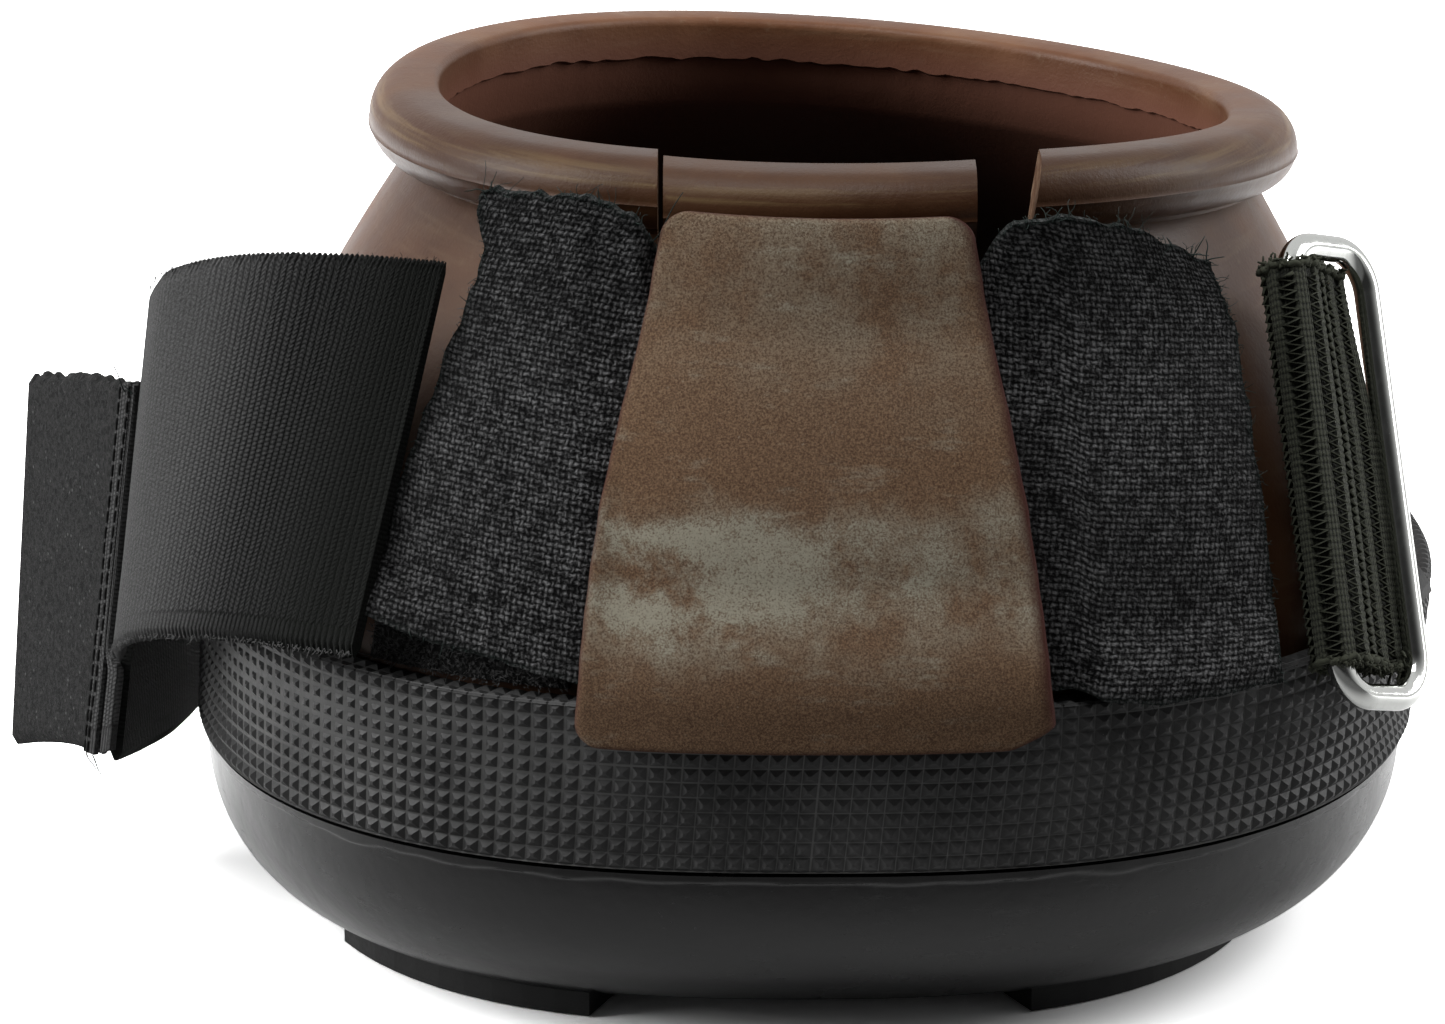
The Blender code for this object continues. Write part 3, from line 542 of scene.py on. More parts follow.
def black_look():
    """Glossy black moulded rubber with scuffs and settled dust."""
    look = Look("bowl_rubber", Specular_IOR_Level=0.55)
    clouds, fine = look.noise(28, 5, 0.6), look.noise(650, 4, 0.65)
    scuffs = look.span(look.streaks((190, 190, 900), 6, 0.75, (0.5, 0.25, 0.3)), 0.585, 0.66)
    marks = look.times(scuffs, look.span(clouds, 0.45, 0.62))
    color = look.blend(look.span(clouds, 0.4, 0.7, 0.0, 0.5), (0.0035, 0.0035, 0.0037), (0.010, 0.010, 0.0102))
    color = look.blend(look.times(marks, 0.5), color, grey(0.055))
    specks = look.span(look.cells(900), 0.0, 0.16, 1.0, 0.0)
    specks = look.times(specks, look.span(look.noise(130, 3), 0.60, 0.68, 0.0, 0.8))
    color = look.blend(specks, color, grey(0.15))
    color = look.blend(look.attribute("glue"), color, grey(0.0035))
    rough = look.plus(look.span(clouds, 0.3, 0.7, 0.20, 0.30), look.times(marks, 0.2))
    bumps = look.bump(look.noise(60, 4, 0.55), 0.0005, 0.6)
    return look.finish(Base_Color=color, Roughness=rough, Normal=look.bump(fine, 0.00004, 0.7, bumps))


def knurl_look(name, low, high, rough):
    """Dull black rubber with pale rub marks on its high places, and painted shade to the left and painted light to the
    right.
    """
    look = Look(name, Specular_IOR_Level=0.36)
    clouds, fine = look.noise(60, 5, 0.6), look.noise(1500, 4, 0.7)
    color = look.blend(look.span(look.plus(clouds, look.times(fine, 0.5)), 0.55, 0.95), low, high)
    worn_and_highlight = look.times(look.attribute("wear_and_highlight"), look.span(look.noise(340, 4, 0.7), 0.35, 0.65, 0.1, 0.8))
    color = look.blend(worn_and_highlight, color, (0.085, 0.085, 0.083))
    dusty = look.times(look.span(look.attribute("groove"), 0.92, 0.99), look.span(clouds, 0.30, 0.60, 0.25, 1.0))
    color = look.blend(look.times(dusty, 0.75), color, (0.130, 0.130, 0.128))
    # Painted shade: darker to the left, where the strap shades the band, and lighter to the right.
    side = look.span(look.split(look.spot)[0], -0.070, 0.012)
    color = look.blend(side, look.tint(color, grey(0.55)),
                       look.tint(color, grey(1.25)))
    specks = look.times(look.span(look.cells(1300), 0.0, 0.14, 1.0, 0.0),
                       look.span(look.noise(170, 2), 0.62, 0.7, 0.0, 0.7))
    color = look.blend(specks, color, (0.20, 0.20, 0.19))
    return look.finish(Base_Color=color, Roughness=look.span(fine, 0.3, 0.7, rough - 0.06, rough + 0.08),
                       Normal=look.bump(fine, 0.00006, 0.8))


def weave_look():
    """Charcoal plain weave of soft yarn, with painted highlights on the yarns and painted shade between them."""
    look = Look("woven_cloth", Sheen_Weight=0.02, Sheen_Roughness=0.5, Specular_IOR_Level=0.10)
    pitch = 0.00076
    u, v = look.split(look.scaled(look.flat, (1, 1, 1), (0.0, 0.0, 0.10)))[:2]
    u = look.shaken(u, 1150, 0.00075)
    v = look.shaken(v, 1250, 0.00075)
    su = look.wave(u, pitch)
    sv = look.wave(v, pitch)
    cross = look.times(su, sv)
    warp = look.times(look.math("ABSOLUTE", su), look.times_plus(cross, 0.50, 0.42))
    uneven = look.span(look.noise(620, 3, 0.7), 0.3, 0.7, 0.45, 1.25)
    weft = look.times(look.math("ABSOLUTE", sv), look.times_plus(cross, -0.42, 0.60))
    height = look.times(look.math("MAXIMUM", warp, weft), uneven)
    yarn = look.noise(1.0, 3, 0.7, look.scaled(look.flat, (2200, 5200, 1)))
    full = look.times_plus(yarn, 0.60, height)
    lift = look.times_plus(look.noise(1900, 4, 0.8), 1.9, full)
    # Painted light: the raised yarns are painted pale as highlights, the gaps between them black as shade.
    color = look.blend(look.span(lift, 1.35, 2.60), (0.0014, 0.0014, 0.0015), (0.180, 0.180, 0.183))
    color = look.blend(look.times(look.attribute("edge"), 0.6), color, (0.005, 0.009, 0.0075))
    color = look.blend(look.span(look.noise(30, 3), 0.4, 0.7, 0.0, 0.40), color, grey(0.007))
    return look.finish(Base_Color=color, Roughness=0.95, Normal=look.bump(full, 0.00036, 1.0))


def pile_look():
    """Looped black pile."""
    look = Look("loop_pile", Sheen_Weight=0.05, Sheen_Roughness=0.4, Specular_IOR_Level=0.2)
    loops, fine = look.cells(1900), look.noise(2400, 4, 0.75, distortion=1.2)
    height = look.minus(fine, look.times(loops, 0.8))
    color = look.blend(look.span(height, 0.0, 0.6), grey(0.0030), grey(0.100))
    return look.finish(Base_Color=color, Roughness=0.95, Normal=look.bump(height, 0.0004, 1.0))


def webbing_look():
    """Black webbing with rows of small knots, rubbed flat with a painted highlight towards the fold, greyer on their
    crowns, and painted shade where the strap lies in shadow.
    """
    look = Look("strap_webbing", Sheen_Weight=0.02, Sheen_Roughness=0.45, Specular_IOR_Level=0.12)
    pitch, course, hem = 0.00086, 0.00058, 0.0033
    u, v = look.split(look.flat)[:2]
    u = look.shaken(u, 300, 0.0004)
    body = look.span(v, hem - 0.0002, hem + 0.0002)
    ribs = look.ribs(u, pitch)
    fine_ribs = look.ribs(u, 0.00072)
    turn = look.times(look.math("FLOOR", look.math("DIVIDE", u, pitch)), math.pi / 2)
    beads = look.math("ABSOLUTE", look.math("SINE", look.plus(look.times(v, math.pi / course), turn)))
    fine = look.noise(2600, 3, 0.75)
    knots = look.times(look.math("POWER", ribs, 0.7), look.times_plus(beads, 0.60, 0.40))
    knots = look.plus(look.times(knots, body),
                      look.times(look.times(fine_ribs, 0.7), look.minus(1.0, body)))
    height = look.times_plus(fine, 0.75, knots)
    seam = look.span(look.math("ABSOLUTE", look.minus(v, hem)), 0.00005, 0.00035)
    height = look.times(height, look.times_plus(seam, 0.35, 0.65))
    # The knots are flattened where rubbed, and a little where painted shade lies.
    plain = look.times_plus(look.attribute("worn_and_highlight"), -0.85, look.times_plus(look.attribute("deep"), -0.35, 1.0))
    height = look.times_plus(look.minus(height, fine), plain, fine)
    color = look.blend(look.span(height, 0.48, 1.40), (0.0015, 0.0015, 0.0016), (0.072, 0.072, 0.073))
    color = look.blend(look.span(look.noise(1200, 2, 0.6), 0.66, 0.76, 0.0, 0.5), color, grey(0.13))
    # Painted highlight towards the fold, greyer on the knots' crowns.
    color = look.blend(look.attribute("worn_and_highlight"), color, look.blend(look.span(height, 0.1, 1.3), grey(0.032),
                                                                  grey(0.150)))
    # Painted shade where the strap lies in shadow.
    color = look.blend(look.attribute("deep"), color, (0.0022, 0.0029, 0.0020))
    return look.finish(Base_Color=color, Roughness=0.88, Normal=look.bump(height, 0.00030, 1.0))


def hook_look():
    """The hook face: a short nap of fine stiff hooks, with painted glints on them."""
    look = Look("hook_face", Sheen_Weight=0.03, Sheen_Roughness=0.35, Specular_IOR_Level=0.10)
    nap, hooks = look.noise(1500, 5, 0.8, distortion=0.8), look.cells(1050, randomness=0.75)
    color = look.blend(look.span(nap, 0.36, 0.70), grey(0.008), grey(0.045))
    # Painted glints: pale dots at the hooks, which also raise the bump.
    glinting_hooks = look.span(hooks, 0.10, 0.30, 1.0, 0.0)
    glinting_hooks = look.times(glinting_hooks, look.span(look.noise(500, 2), 0.5, 0.62))
    color = look.blend(look.times(glinting_hooks, 0.6), color, grey(0.14))
    height = look.plus(nap, look.times(glinting_hooks, 0.35))
    return look.finish(Base_Color=color, Roughness=0.9, Normal=look.bump(height, 0.00030, 0.9))


def suede_look():
    """Brown rubber with a raw, napped face, its bloom and its dark red cut edges."""
    look = Look("patch_rubber", Specular_IOR_Level=0.18, Sheen_Weight=0.02, Sheen_Roughness=0.5)
    grain, clouds = look.noise(3900, 4, 0.8), look.noise(95, 7, 0.72)
    streaks = look.streaks((90, 90, 330), 5, 0.7)
    color = look.blend(look.span(grain, 0.36, 0.66), (0.084, 0.042, 0.022), (0.245, 0.153, 0.088))
    high, across = look.attribute("high"), look.attribute("across")
    high = look.times_plus(look.minus(look.noise(130, 5, 0.6), 0.5), 0.22, high)
    belt = look.times(look.span(high, 0.12, 0.36), look.span(high, 0.40, 0.50, 1.0, 0.0))
    side = look.times(look.span(across, 0.10, 0.80, 1.7, 0.80), belt)
    top = look.times(look.span(high, 0.55, 0.95), look.span(across, 0.1, 0.7, 0.25, 0.55))
    bloom = look.times(look.plus(side, top), look.span(clouds, 0.34, 0.60))
    bloom = look.plus(bloom, look.span(streaks, 0.54, 0.74, 0.0, 0.45))
    bloom = look.times(bloom, look.span(grain, 0.36, 0.62, 0.22, 1.25))
    color = look.blend(look.math("MINIMUM", bloom, 0.86), color, (0.365, 0.350, 0.275))
    specks = look.span(look.noise(1500, 3, 0.7), 0.66, 0.74, 0.0, 0.5)
    color = look.blend(specks, color, (0.32, 0.28, 0.22))
    edge = look.attribute("edge")
    color = look.blend(look.times(edge, look.span(clouds, 0.3, 0.6, 0.75, 1.0)), color, (0.048, 0.011, 0.007))
    height = look.times_plus(clouds, 0.8, grain)
    return look.finish(Base_Color=color, Roughness=look.span(clouds, 0.3, 0.7, 0.70, 0.88),
                       Normal=look.bump(height, 0.00024, 0.9))


def elastic_look():
    """Dark olive elastic: crimped strips beside dark channels."""
    look = Look("elastic_web", Sheen_Weight=0.02, Specular_IOR_Level=0.30)
    u, v = look.split(look.flat)[:2]
    fine = look.noise(2300, 4, 0.75)
    ribs = look.ribs(u, 0.00045)
    picks = look.ribs(v, 0.00080)
    height = look.times_plus(ribs, 0.5, look.times_plus(picks, 0.4, fine))
    color = look.blend(look.span(height, 0.4, 1.7), (0.0020, 0.0023, 0.0016), (0.062, 0.067, 0.046))
    color = look.blend(look.times(look.attribute("channel"), 0.80), color, (0.0070, 0.0078, 0.0055))
    return look.finish(Base_Color=color, Roughness=0.80, Normal=look.bump(height, 0.00022, 1.0))


def foam_look():
    """Dark open-cell foam."""
    look = Look("insole_foam", Specular_IOR_Level=0.2)
    holes, fine = look.cells(900), look.noise(1400, 4, 0.7)
    height = look.times_plus(fine, 0.5, look.span(holes, 0.0, 0.45))
    color = look.blend(look.span(height, 0.3, 1.2), grey(0.004), (0.045, 0.043, 0.041))
    return look.finish(Base_Color=color, Roughness=0.95, Normal=look.bump(height, 0.0003, 0.9))


def chrome_look():
    """Polished plated wire with hairline scratches."""
    look = Look("chrome", Metallic=1.0)
    hair = look.streaks((900, 900, 70), 5, 0.7, (0.0, 0.25, 0.0))
    color = look.blend(look.span(hair, 0.5, 0.75, 0.0, 0.35), (0.60, 0.61, 0.59), (0.42, 0.43, 0.41))
    return look.finish(Base_Color=color, Roughness=look.span(hair, 0.35, 0.75, 0.06, 0.22),
                       Normal=look.bump(look.noise(300, 2), 0.00004, 0.5))


def thread_look(name, low, high):
    """Loose yarn."""
    look = Look(name, Roughness=0.85, Specular_IOR_Level=0.25)
    return look.finish(Base_Color=look.blend(look.noise(1400, 2), low, high))


brown = brown_look()
black = black_look()
knurl = knurl_look("knurled_rubber", (0.018, 0.018, 0.0182), grey(0.044), 0.50)
matte = knurl_look("matte_rubber", grey(0.011), grey(0.024), 0.62)
weave = weave_look()
loops = pile_look()
webbing = webbing_look()
hooks = hook_look()
suede = suede_look()
olive = elastic_look()
chrome = chrome_look()
foam = foam_look()
dark_thread = thread_look("dark_thread", (0.008, 0.012, 0.011), (0.030, 0.045, 0.040))
black_thread = thread_look("black_thread", grey(0.004), grey(0.022))
pale_thread = thread_look("pale_thread", grey(0.05), grey(0.16))
loop_thread = thread_look("loop_thread", grey(0.030), grey(0.140))
lace_thread = thread_look("lace_thread", (0.012, 0.013, 0.009), (0.080, 0.086, 0.060))


# The upper and the tongue: one profile, swept round the neck

bead_radius = bead_height / 2
bead_middle = bead_reach - bead_radius
wall_rows, bead_rows, lip_rows, inner_rows = 58, 45, 5, 40


def shell_rows(angle):
    """Rows of points up the outside, round the bead and down the inside."""
    rows = []
    for level in np.linspace(0.0, 0.985, wall_rows):
        rows.append(wall_point(angle, level))
    for turn in np.linspace(-0.5, 0.5, bead_rows) * math.pi:
        parting = 0.00020 * math.exp(-((turn + 0.16) / 0.045) ** 2)
        rows.append(collar_ring(angle, bead_middle + (bead_radius + parting) * math.cos(turn),
                                bead_radius * math.sin(turn)))
    inner = -(wall_thickness + bead_stand)
    for share in np.linspace(0.2, 1.0, lip_rows):
        turn = share * math.pi / 2
        rows.append(collar_ring(angle, inner + bead_corner * (1 - math.sin(turn)),
                                bead_radius - bead_corner * (1 - math.cos(turn))))
    ragged = wobble(angle.shape, 0.00035, 1)
    rows.append(collar_ring(angle, inner, -0.0010 + ragged))
    rows.append(collar_ring(angle, inner + 0.0007, -0.0014 + ragged))
    for level in np.linspace(0.985, 0.0, inner_rows):
        rows.append(off_wall(angle, level, np.full(angle.shape, -wall_thickness)))
    rows[-1][..., 2] = upper_foot
    return np.stack(rows)


def make_shell(name, drop, corners, operation, steps=420):
    """One swept rubber shell, cut by its window."""
    angle = (np.arange(steps) + 0.5) * tau / steps
    rows = shell_rows(angle) - vec(0.0, 0.0, drop)
    faces = grid_faces(len(rows), steps, wrap_rows=True, wrap_columns=True)
    made = add_mesh(name, rows, faces, brown)
    marks = np.zeros((3, len(rows), steps))
    bead = np.linspace(-0.5, 0.5, bead_rows) * math.pi
    bead_end = wall_rows + bead_rows
    # Rub wear in a thin line along the bead, and a broad painted highlight on the bead's upper side.
    marks[0, wall_rows:bead_end] = (np.exp(-((bead - 0.40) / 0.05) ** 2)
                                    + 0.60 * np.exp(-((bead - 0.80) / 0.28) ** 2))[:, None]
    # Marks the inside rows, where the material paints shade.
    marks[1, bead_end + lip_rows:] = 1.0
    for key, values in zip(("wear_and_highlight", "inside"), marks):
        mark(made, key, values)
    cut(made, corners, operation)
    return made


above = collar_height + 0.02
upper = make_shell("upper_shell", 0.0, (
    (-window_left, window_low), (window_foot, window_low), (window_neck, collar_height - bead_height),
    (window_rim, above), (-window_left, above)), "DIFFERENCE")
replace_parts(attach(upper, "boot"), "upper")
tongue = make_shell("tongue_shell", tongue_drop, (
    (-tongue_left, tongue_low), (tongue_right, tongue_low), (tongue_right, above),
    (-tongue_left, above)), "INTERSECT")
co = np.zeros(len(tongue.data.vertices) * 3)
tongue.data.vertices.foreach_get("co", co)
tongue.data.vertices.foreach_set("co", turn_flap(co.reshape(-1, 3)).ravel())
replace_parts(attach(tongue, "front_flap"), "tongue")


# The sole's bowl

def make_bowl(steps=360):
    """The bowl with its ledge and wall, a thin moulding ridge and the seat inside."""
    angle = np.arange(steps) * tau / steps
    rows = [sole_point(angle, -bowl_inset - 0.030, underside, -bowl_lean)]
    last = math.acos((0.0028 / bowl_height) ** (bowl_squareness / 2))
    for turn in np.linspace(0.0, last, 44):
        inset = bowl_inset * (1 - math.sin(turn) ** (2 / bowl_squareness))
        height = underside + bowl_height * (1 - math.cos(turn) ** (2 / bowl_squareness))
        rows.append(sole_point(angle, -inset, height, -bowl_lean * (1 - math.sin(turn))))
    inner = -(seat_depth + cup_wall)
    glue_foot = 0.0012 + wobble((steps,), 0.0005, 5) + wobble((steps,), 0.0002, 1)
    depths = np.linspace(0.0026, 0.0002, 16)
    for depth in depths:
        bulge = 0.00028 * ease((glue_foot - depth) / 0.00030 + 0.5)
        turn = math.acos(max(1 - (bowl_height - depth) / bowl_height, 0.0) ** (bowl_squareness / 2))
        inset = bowl_inset * (1 - math.sin(turn) ** (2 / bowl_squareness))
        rows.append(sole_point(angle, bulge - inset, ledge - depth, -bowl_lean * (1 - math.sin(turn))))
    glue_rows = len(rows)
    for offset, height in ((-seat_depth, ledge), (-seat_depth, cup_top), (inner, cup_top)):
        rows.append(sole_point(angle, offset, height))
    for turn in np.linspace(0.0, 0.5, 9) * math.pi:
        rows.append(sole_point(angle, inner - cup_corner * (1 - math.cos(turn)),
                               underside + cup_floor + cup_corner * (1 - math.sin(turn))))
    rows = np.stack(rows)
    made = add_mesh("sole_bowl", rows, capped_faces(len(rows), steps), black)
    glue = np.zeros((len(rows), steps))
    glue[glue_rows - len(depths):glue_rows] = ease((glue_foot[None] - depths[:, None]) / 0.0003 + 0.5)
    mark(made, "glue", glue)
    return made


bowl = make_bowl()
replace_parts(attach(bowl, "boot"), "sole_cup")


# The knurled band

def even_angles(count, offset, height):
    """Plan angles that part a ring into equal lengths, from the heel round."""
    fine = np.linspace(0.0, tau, 4001) + math.pi / 2
    points = sole_point(fine, offset, height)
    length = length_along(points)
    return np.interp(np.arange(count) / count * length[-1], length, fine)


def make_band(cells=256, courses=11):
    """The band: courses of small pyramids between two plain lips."""
    outer = clearance - seat_depth + band_thickness
    lip, relief, top_share = 0.0003, 0.00050, 0.10
    angle = even_angles(cells, outer, band_foot)
    step = (np.roll(angle, -1) - angle) % tau
    height = band_top - band_foot

    def face(turn, z, depth):
        z = np.asarray(z, float)
        flare = band_flare * (z - band_foot) / height
        return sole_point(turn, outer + flare - depth, z)

    verts, faces = [], []

    def add_course(ring):
        """One course of cells from their four foot corners and four top corners."""
        start = len(verts)
        verts.extend(np.stack(ring, 1).reshape(-1, 3).tolist())
        for b in range(start, start + cells * 8, 8):
            faces.extend([b + i, b + (i + 1) % 4, b + 4 + (i + 1) % 4, b + 4 + i] for i in range(4))
            faces.append([b + 4, b + 5, b + 6, b + 7])
    side = 0.5 - top_share
    shares = ((0.02, 0.02), (0.98, 0.02), (0.98, 0.98), (0.02, 0.98),
              (side, side), (1 - side, side), (1 - side, 1 - side), (side, 1 - side))
    pitch = (height - lip - 0.0001) / courses
    for course in range(courses):
        z0 = band_foot + lip + course * pitch
        dz = wobble((cells,), 0.00003, 1)
        dr = wobble((cells,), 0.00006, 1)
        add_course([face(angle + step * u, z0 + pitch * v + dz, relief if index < 4 else np.maximum(dr, 0.0))
                    for index, (u, v) in enumerate(shares)])
    for course in range(2):
        reach = outer + band_flare - 0.0001 - course * pitch
        add_course([sole_point(angle + step * u, reach - pitch * v, band_top - (0.0004 if index < 4 else 0.0))
                    for index, (u, v) in enumerate(shares)])
    inner = clearance - seat_depth
    profile = ((inner, band_foot), (outer - 0.0012, band_foot), (outer - 0.00045, band_foot + 0.0001),
               (outer - 0.0003, band_foot + 0.0002), (outer - relief + 0.00001, band_foot + lip),
               (outer + band_flare - relief + 0.00001, band_top - 0.0006),
               (outer + band_flare - 0.0010, band_top - 0.00038), (inner, band_top - 0.00038))
    ring = np.stack([sole_point(angle, offset, z) for offset, z in profile])
    start = len(verts)
    verts += ring.reshape(-1, 3).tolist()
    faces += grid_faces(len(profile), cells, wrap_rows=True, wrap_columns=True, start=start)
    made = add_mesh("knurled_band", verts, faces, knurl, sharp=25.0)
    groove = np.zeros(len(verts))
    for index in range(4):
        groove[index:start:8] = 1.0
    groove[start:] = 1.0
    mark(made, "groove", groove)
    return made


band = make_band()
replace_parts(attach(band, "boot"), "foxing_band")


# The flap's wings, and the loop pads under them

def wing_offset(x):
    """How far a wing's inner face stands off the wall."""
    return clearance + ease((np.abs(x) - 0.0215) / 0.0070) * (pad_thickness + clearance)


def band_front(x):
    """How far forward the band reaches at this x."""
    reach = band_reach + clearance
    share = np.minimum(np.abs(x) / (seat_half_width + reach), 0.999)
    return -(seat_front + reach) * (1 - share ** sole_squareness) ** (1 / sole_squareness)


def make_wing(name, side, foot_reach, top_reach, tops, feet, lap):
    """A woven wing: round the side of the upper, then straight up before the collar."""
    rows, columns, turn_level = 96, 84, 0.70
    v, u = share_grid(rows, columns)
    reach = foot_reach + (top_reach - foot_reach) * v ** wing_power
    reach = reach + wobble((rows, 1), 0.00025, 3)
    if side < 0:
        reach = reach - np.interp(v, (0.0, 0.32, 0.40, 0.50, 0.60, 0.68, 0.79, 0.86, 0.95, 1.0), (
            0.0, 0.0007, 0.0010, 0.0015, 0.0019, 0.0024, 0.0024, 0.0022, 0.0, -0.0004))
    near, far = (0.0003, reach) if side > 0 else (-reach, -0.0003)
    x = near + (far - near) * u
    foot = np.interp(np.abs(x[0]), *feet) + wobble((columns,), 0.00030, 2)
    top = np.interp(np.abs(x[-1]), *tops) + wobble((columns,), 0.00045, 2)
    span = collar_height + 0.0038 - bead_height - upper_foot
    foot_level = (foot - upper_foot) / span
    free = ease((np.abs(x) - 0.0165) / 0.0050)
    bend = 0.62
    low = foot_level + (turn_level - foot_level) * np.minimum(v / bend, 1.0)
    up = np.clip((v - bend) / (1 - bend), 0.0, 1.0)
    stand = wing_offset(x) + 0.0030 * (ease((-x - 0.036) / 0.016) * ease(1 - v / 0.16) if side < 0 else 0.0)
    ripple = wobble((rows, columns), 0.00014, 14)

    def face(extra):
        along_wall = off_wall(front_angle(x, low + (0.90 - turn_level) * up), low + (0.90 - turn_level) * up,
                              stand + extra)
        level = np.full(x.shape, turn_level)
        start = off_wall(front_angle(x, level), level, stand + extra)
        above = off_wall(front_angle(x, level + 0.02), level + 0.02, stand + extra)
        lie = unit(above - start)
        rise = np.maximum(top[None] - start[..., 2], 0.004)
        way = start + lie * (rise * (up - up ** 2 + up ** 3 / 3))[..., None]
        way[..., 2] = start[..., 2] + rise * up
        point = along_wall + (way - along_wall) * (free * np.where(up > 0, 1.0, 0.0))[..., None]
        if lap:
            over = ease((0.0532 - point[..., 2]) / 0.0078) * ease((np.abs(x) - 0.0275) / 0.0045)
            aim = np.minimum(band_front(x) - extra, point[..., 1])
            point[..., 1] += (aim - point[..., 1]) * over
        return point
    outer, inner = face(wing_thickness + ripple), face(np.full(x.shape, 0.0002) + ripple * 0.5)
    uv = metre_uv(outer).copy()
    uv[..., 0] -= uv[:, :1, 0] if side > 0 else uv[:, -1:, 0]
    uv[..., 1] += foot[None]
    made = sheet_mesh(name, turn_flap(outer), turn_flap(inner), weave, uv)
    edge = np.minimum(np.minimum(u, 1 - u) * 50, np.minimum(v, 1 - v) * 50)
    mark(made, "edge", np.tile((1 - np.clip(edge, 0, 1)).ravel(), 2))
    node = "wing_left" if side < 0 else "wing_right"
    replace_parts(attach(made, "front_flap"), node)
    return made, turn_flap(outer)


wing_left, wing_left_face = make_wing(
    "woven_wing_left", -1, 0.0510, 0.0376,
    ((0.0, 0.0165, 0.0185, 0.0258, 0.0380), (0.0890, 0.0930, 0.0965, 0.1000, 0.0988)),
    ((0.0, 0.0270, 0.0350, 0.0440, 0.0530), (0.0460, 0.0464, 0.0476, 0.0490, 0.0512)), False)
wing_right, wing_right_face = make_wing(
    "woven_wing_right", 1, 0.0518, 0.0437,
    ((0.0, 0.0165, 0.0188, 0.0264, 0.0340, 0.0440), (0.0890, 0.0930, 0.0966, 0.0980, 0.0960, 0.0893)),
    ((0.0, 0.0300, 0.0370, 0.0530), (0.0460, 0.0458, 0.0442, 0.0438)), True)


def threads(starts, ways, lengths, curl, points=7):
    """Paths of loose threads that set out one way and curl."""
    paths = []
    for start, way, length in zip(starts, ways, lengths):
        drift = chance.standard_normal(3) * curl
        bend = chance.standard_normal(3) * curl
        share = np.linspace(0, 1, points)[:, None]
        way = unit(np.asarray(way) + drift * 0.5)
        paths.append(start + length * (way * share + bend * share ** 2 * 0.6 + drift * np.sin(share * 6.0) * 0.12))
    return paths


def fray(name, face, side, count, longest, body, look=dark_thread):
    """Short threads that stand out from one edge of a woven grid."""
    edges = {"top": (face[-1], face[-1] - face[-3]), "foot": (face[0], face[0] - face[2]),
             "left": (face[:, 0], face[:, 0] - face[:, 2]), "right": (face[:, -1], face[:, -1] - face[:, -3])}
    line, out = edges[side]
    place = chance.uniform(0, len(line) - 1.001, count)
    index, part = place.astype(int), (place % 1)[:, None]
    starts = line[index] * (1 - part) + line[index + 1] * part - unit(out[index]) * 0.0003
    lengths = longest * chance.uniform(0.25, 1.0, count) ** 1.8
    made = tube_set(name, threads(starts, unit(out[index]), lengths, 0.80), 0.00006, look, sides=4)
    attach(made, body)
    return made


for tag, face, sides in (
        ("left", wing_left_face, (("top", 130, 0.0022), ("left", 110, 0.0010), ("foot", 60, 0.0010))),
        ("right", wing_right_face, (("top", 150, 0.0024), ("right", 150, 0.0014), ("foot", 40, 0.0008)))):
    for side, count, longest in sides:
        made = fray("fray_%s_%s" % (tag, side), face, side, count, longest, "front_flap")


def strays(name, face, spots, body):
    """Single long threads at places on a grid: row and column shares, way and length."""
    rows, columns = face.shape[:2]
    starts = [face[int(r * (rows - 1)), int(c * (columns - 1))] for r, c, _, _ in spots]
    made = tube_set(name, threads(starts, [w for _, _, w, _ in spots], [k for _, _, _, k in spots], 0.30, 14),
                    0.00010, dark_thread)
    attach(made, body)
    return made


strays("stray_threads_left", wing_left_face, (
    (1, 0.58, (-0.7, -0.3, 0.7), 0.0060), (1, 0.62, (-1, -0.2, 0.5), 0.0075), (1, 0.66, (0.3, -0.3, 1), 0.0045),
    (1, 0.70, (0.8, -0.2, 0.7), 0.0042), (1, 0.50, (0.5, -0.3, 0.9), 0.0050), (1, 0.36, (-0.3, -0.2, 1), 0.0026),
    (1, 0.02, (-1, -0.3, 0.3), 0.0026)), "front_flap")
strays("stray_threads_right", wing_right_face, (
    (1, 0.96, (0.5, -0.2, 1), 0.0026), (1, 0.99, (0.9, -0.3, 0.4), 0.0022), (1, 0.90, (-0.4, -0.2, 1), 0.0018),
    (1, 0.99, (0.3, -0.2, 1), 0.0030), (0.99, 0.94, (1, -0.4, 0.2), 0.0020), (1, 0.60, (0.3, -0.3, 1), 0.0018)),
       "front_flap")


def make_pad(name, node, side):
    """A loop-faced pad under a wing."""
    v, u = share_grid(60, 40)
    level = pad_foot + (pad_top - pad_foot) * v
    reach = 0.0520 + (0.0400 - 0.0520) * v ** wing_power
    near, far = (pad_inner, reach) if side > 0 else (-reach, -pad_inner)
    x = near + (far - near) * u
    outer = off_wall(front_angle(x, level), level, clearance + pad_thickness + wobble(u.shape, 0.00012, 2))
    inner = off_wall(front_angle(x, level), level, np.full(u.shape, clearance))
    made = sheet_mesh(name, outer, inner, loops, metre_uv(outer))
    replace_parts(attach(made, "boot"), node)
    return made, outer


pad_left, pad_left_face = make_pad("loop_pile_left", "loop_pad_left", -1)
pad_right, pad_right_face = make_pad("loop_pile_right", "loop_pad_right", 1)


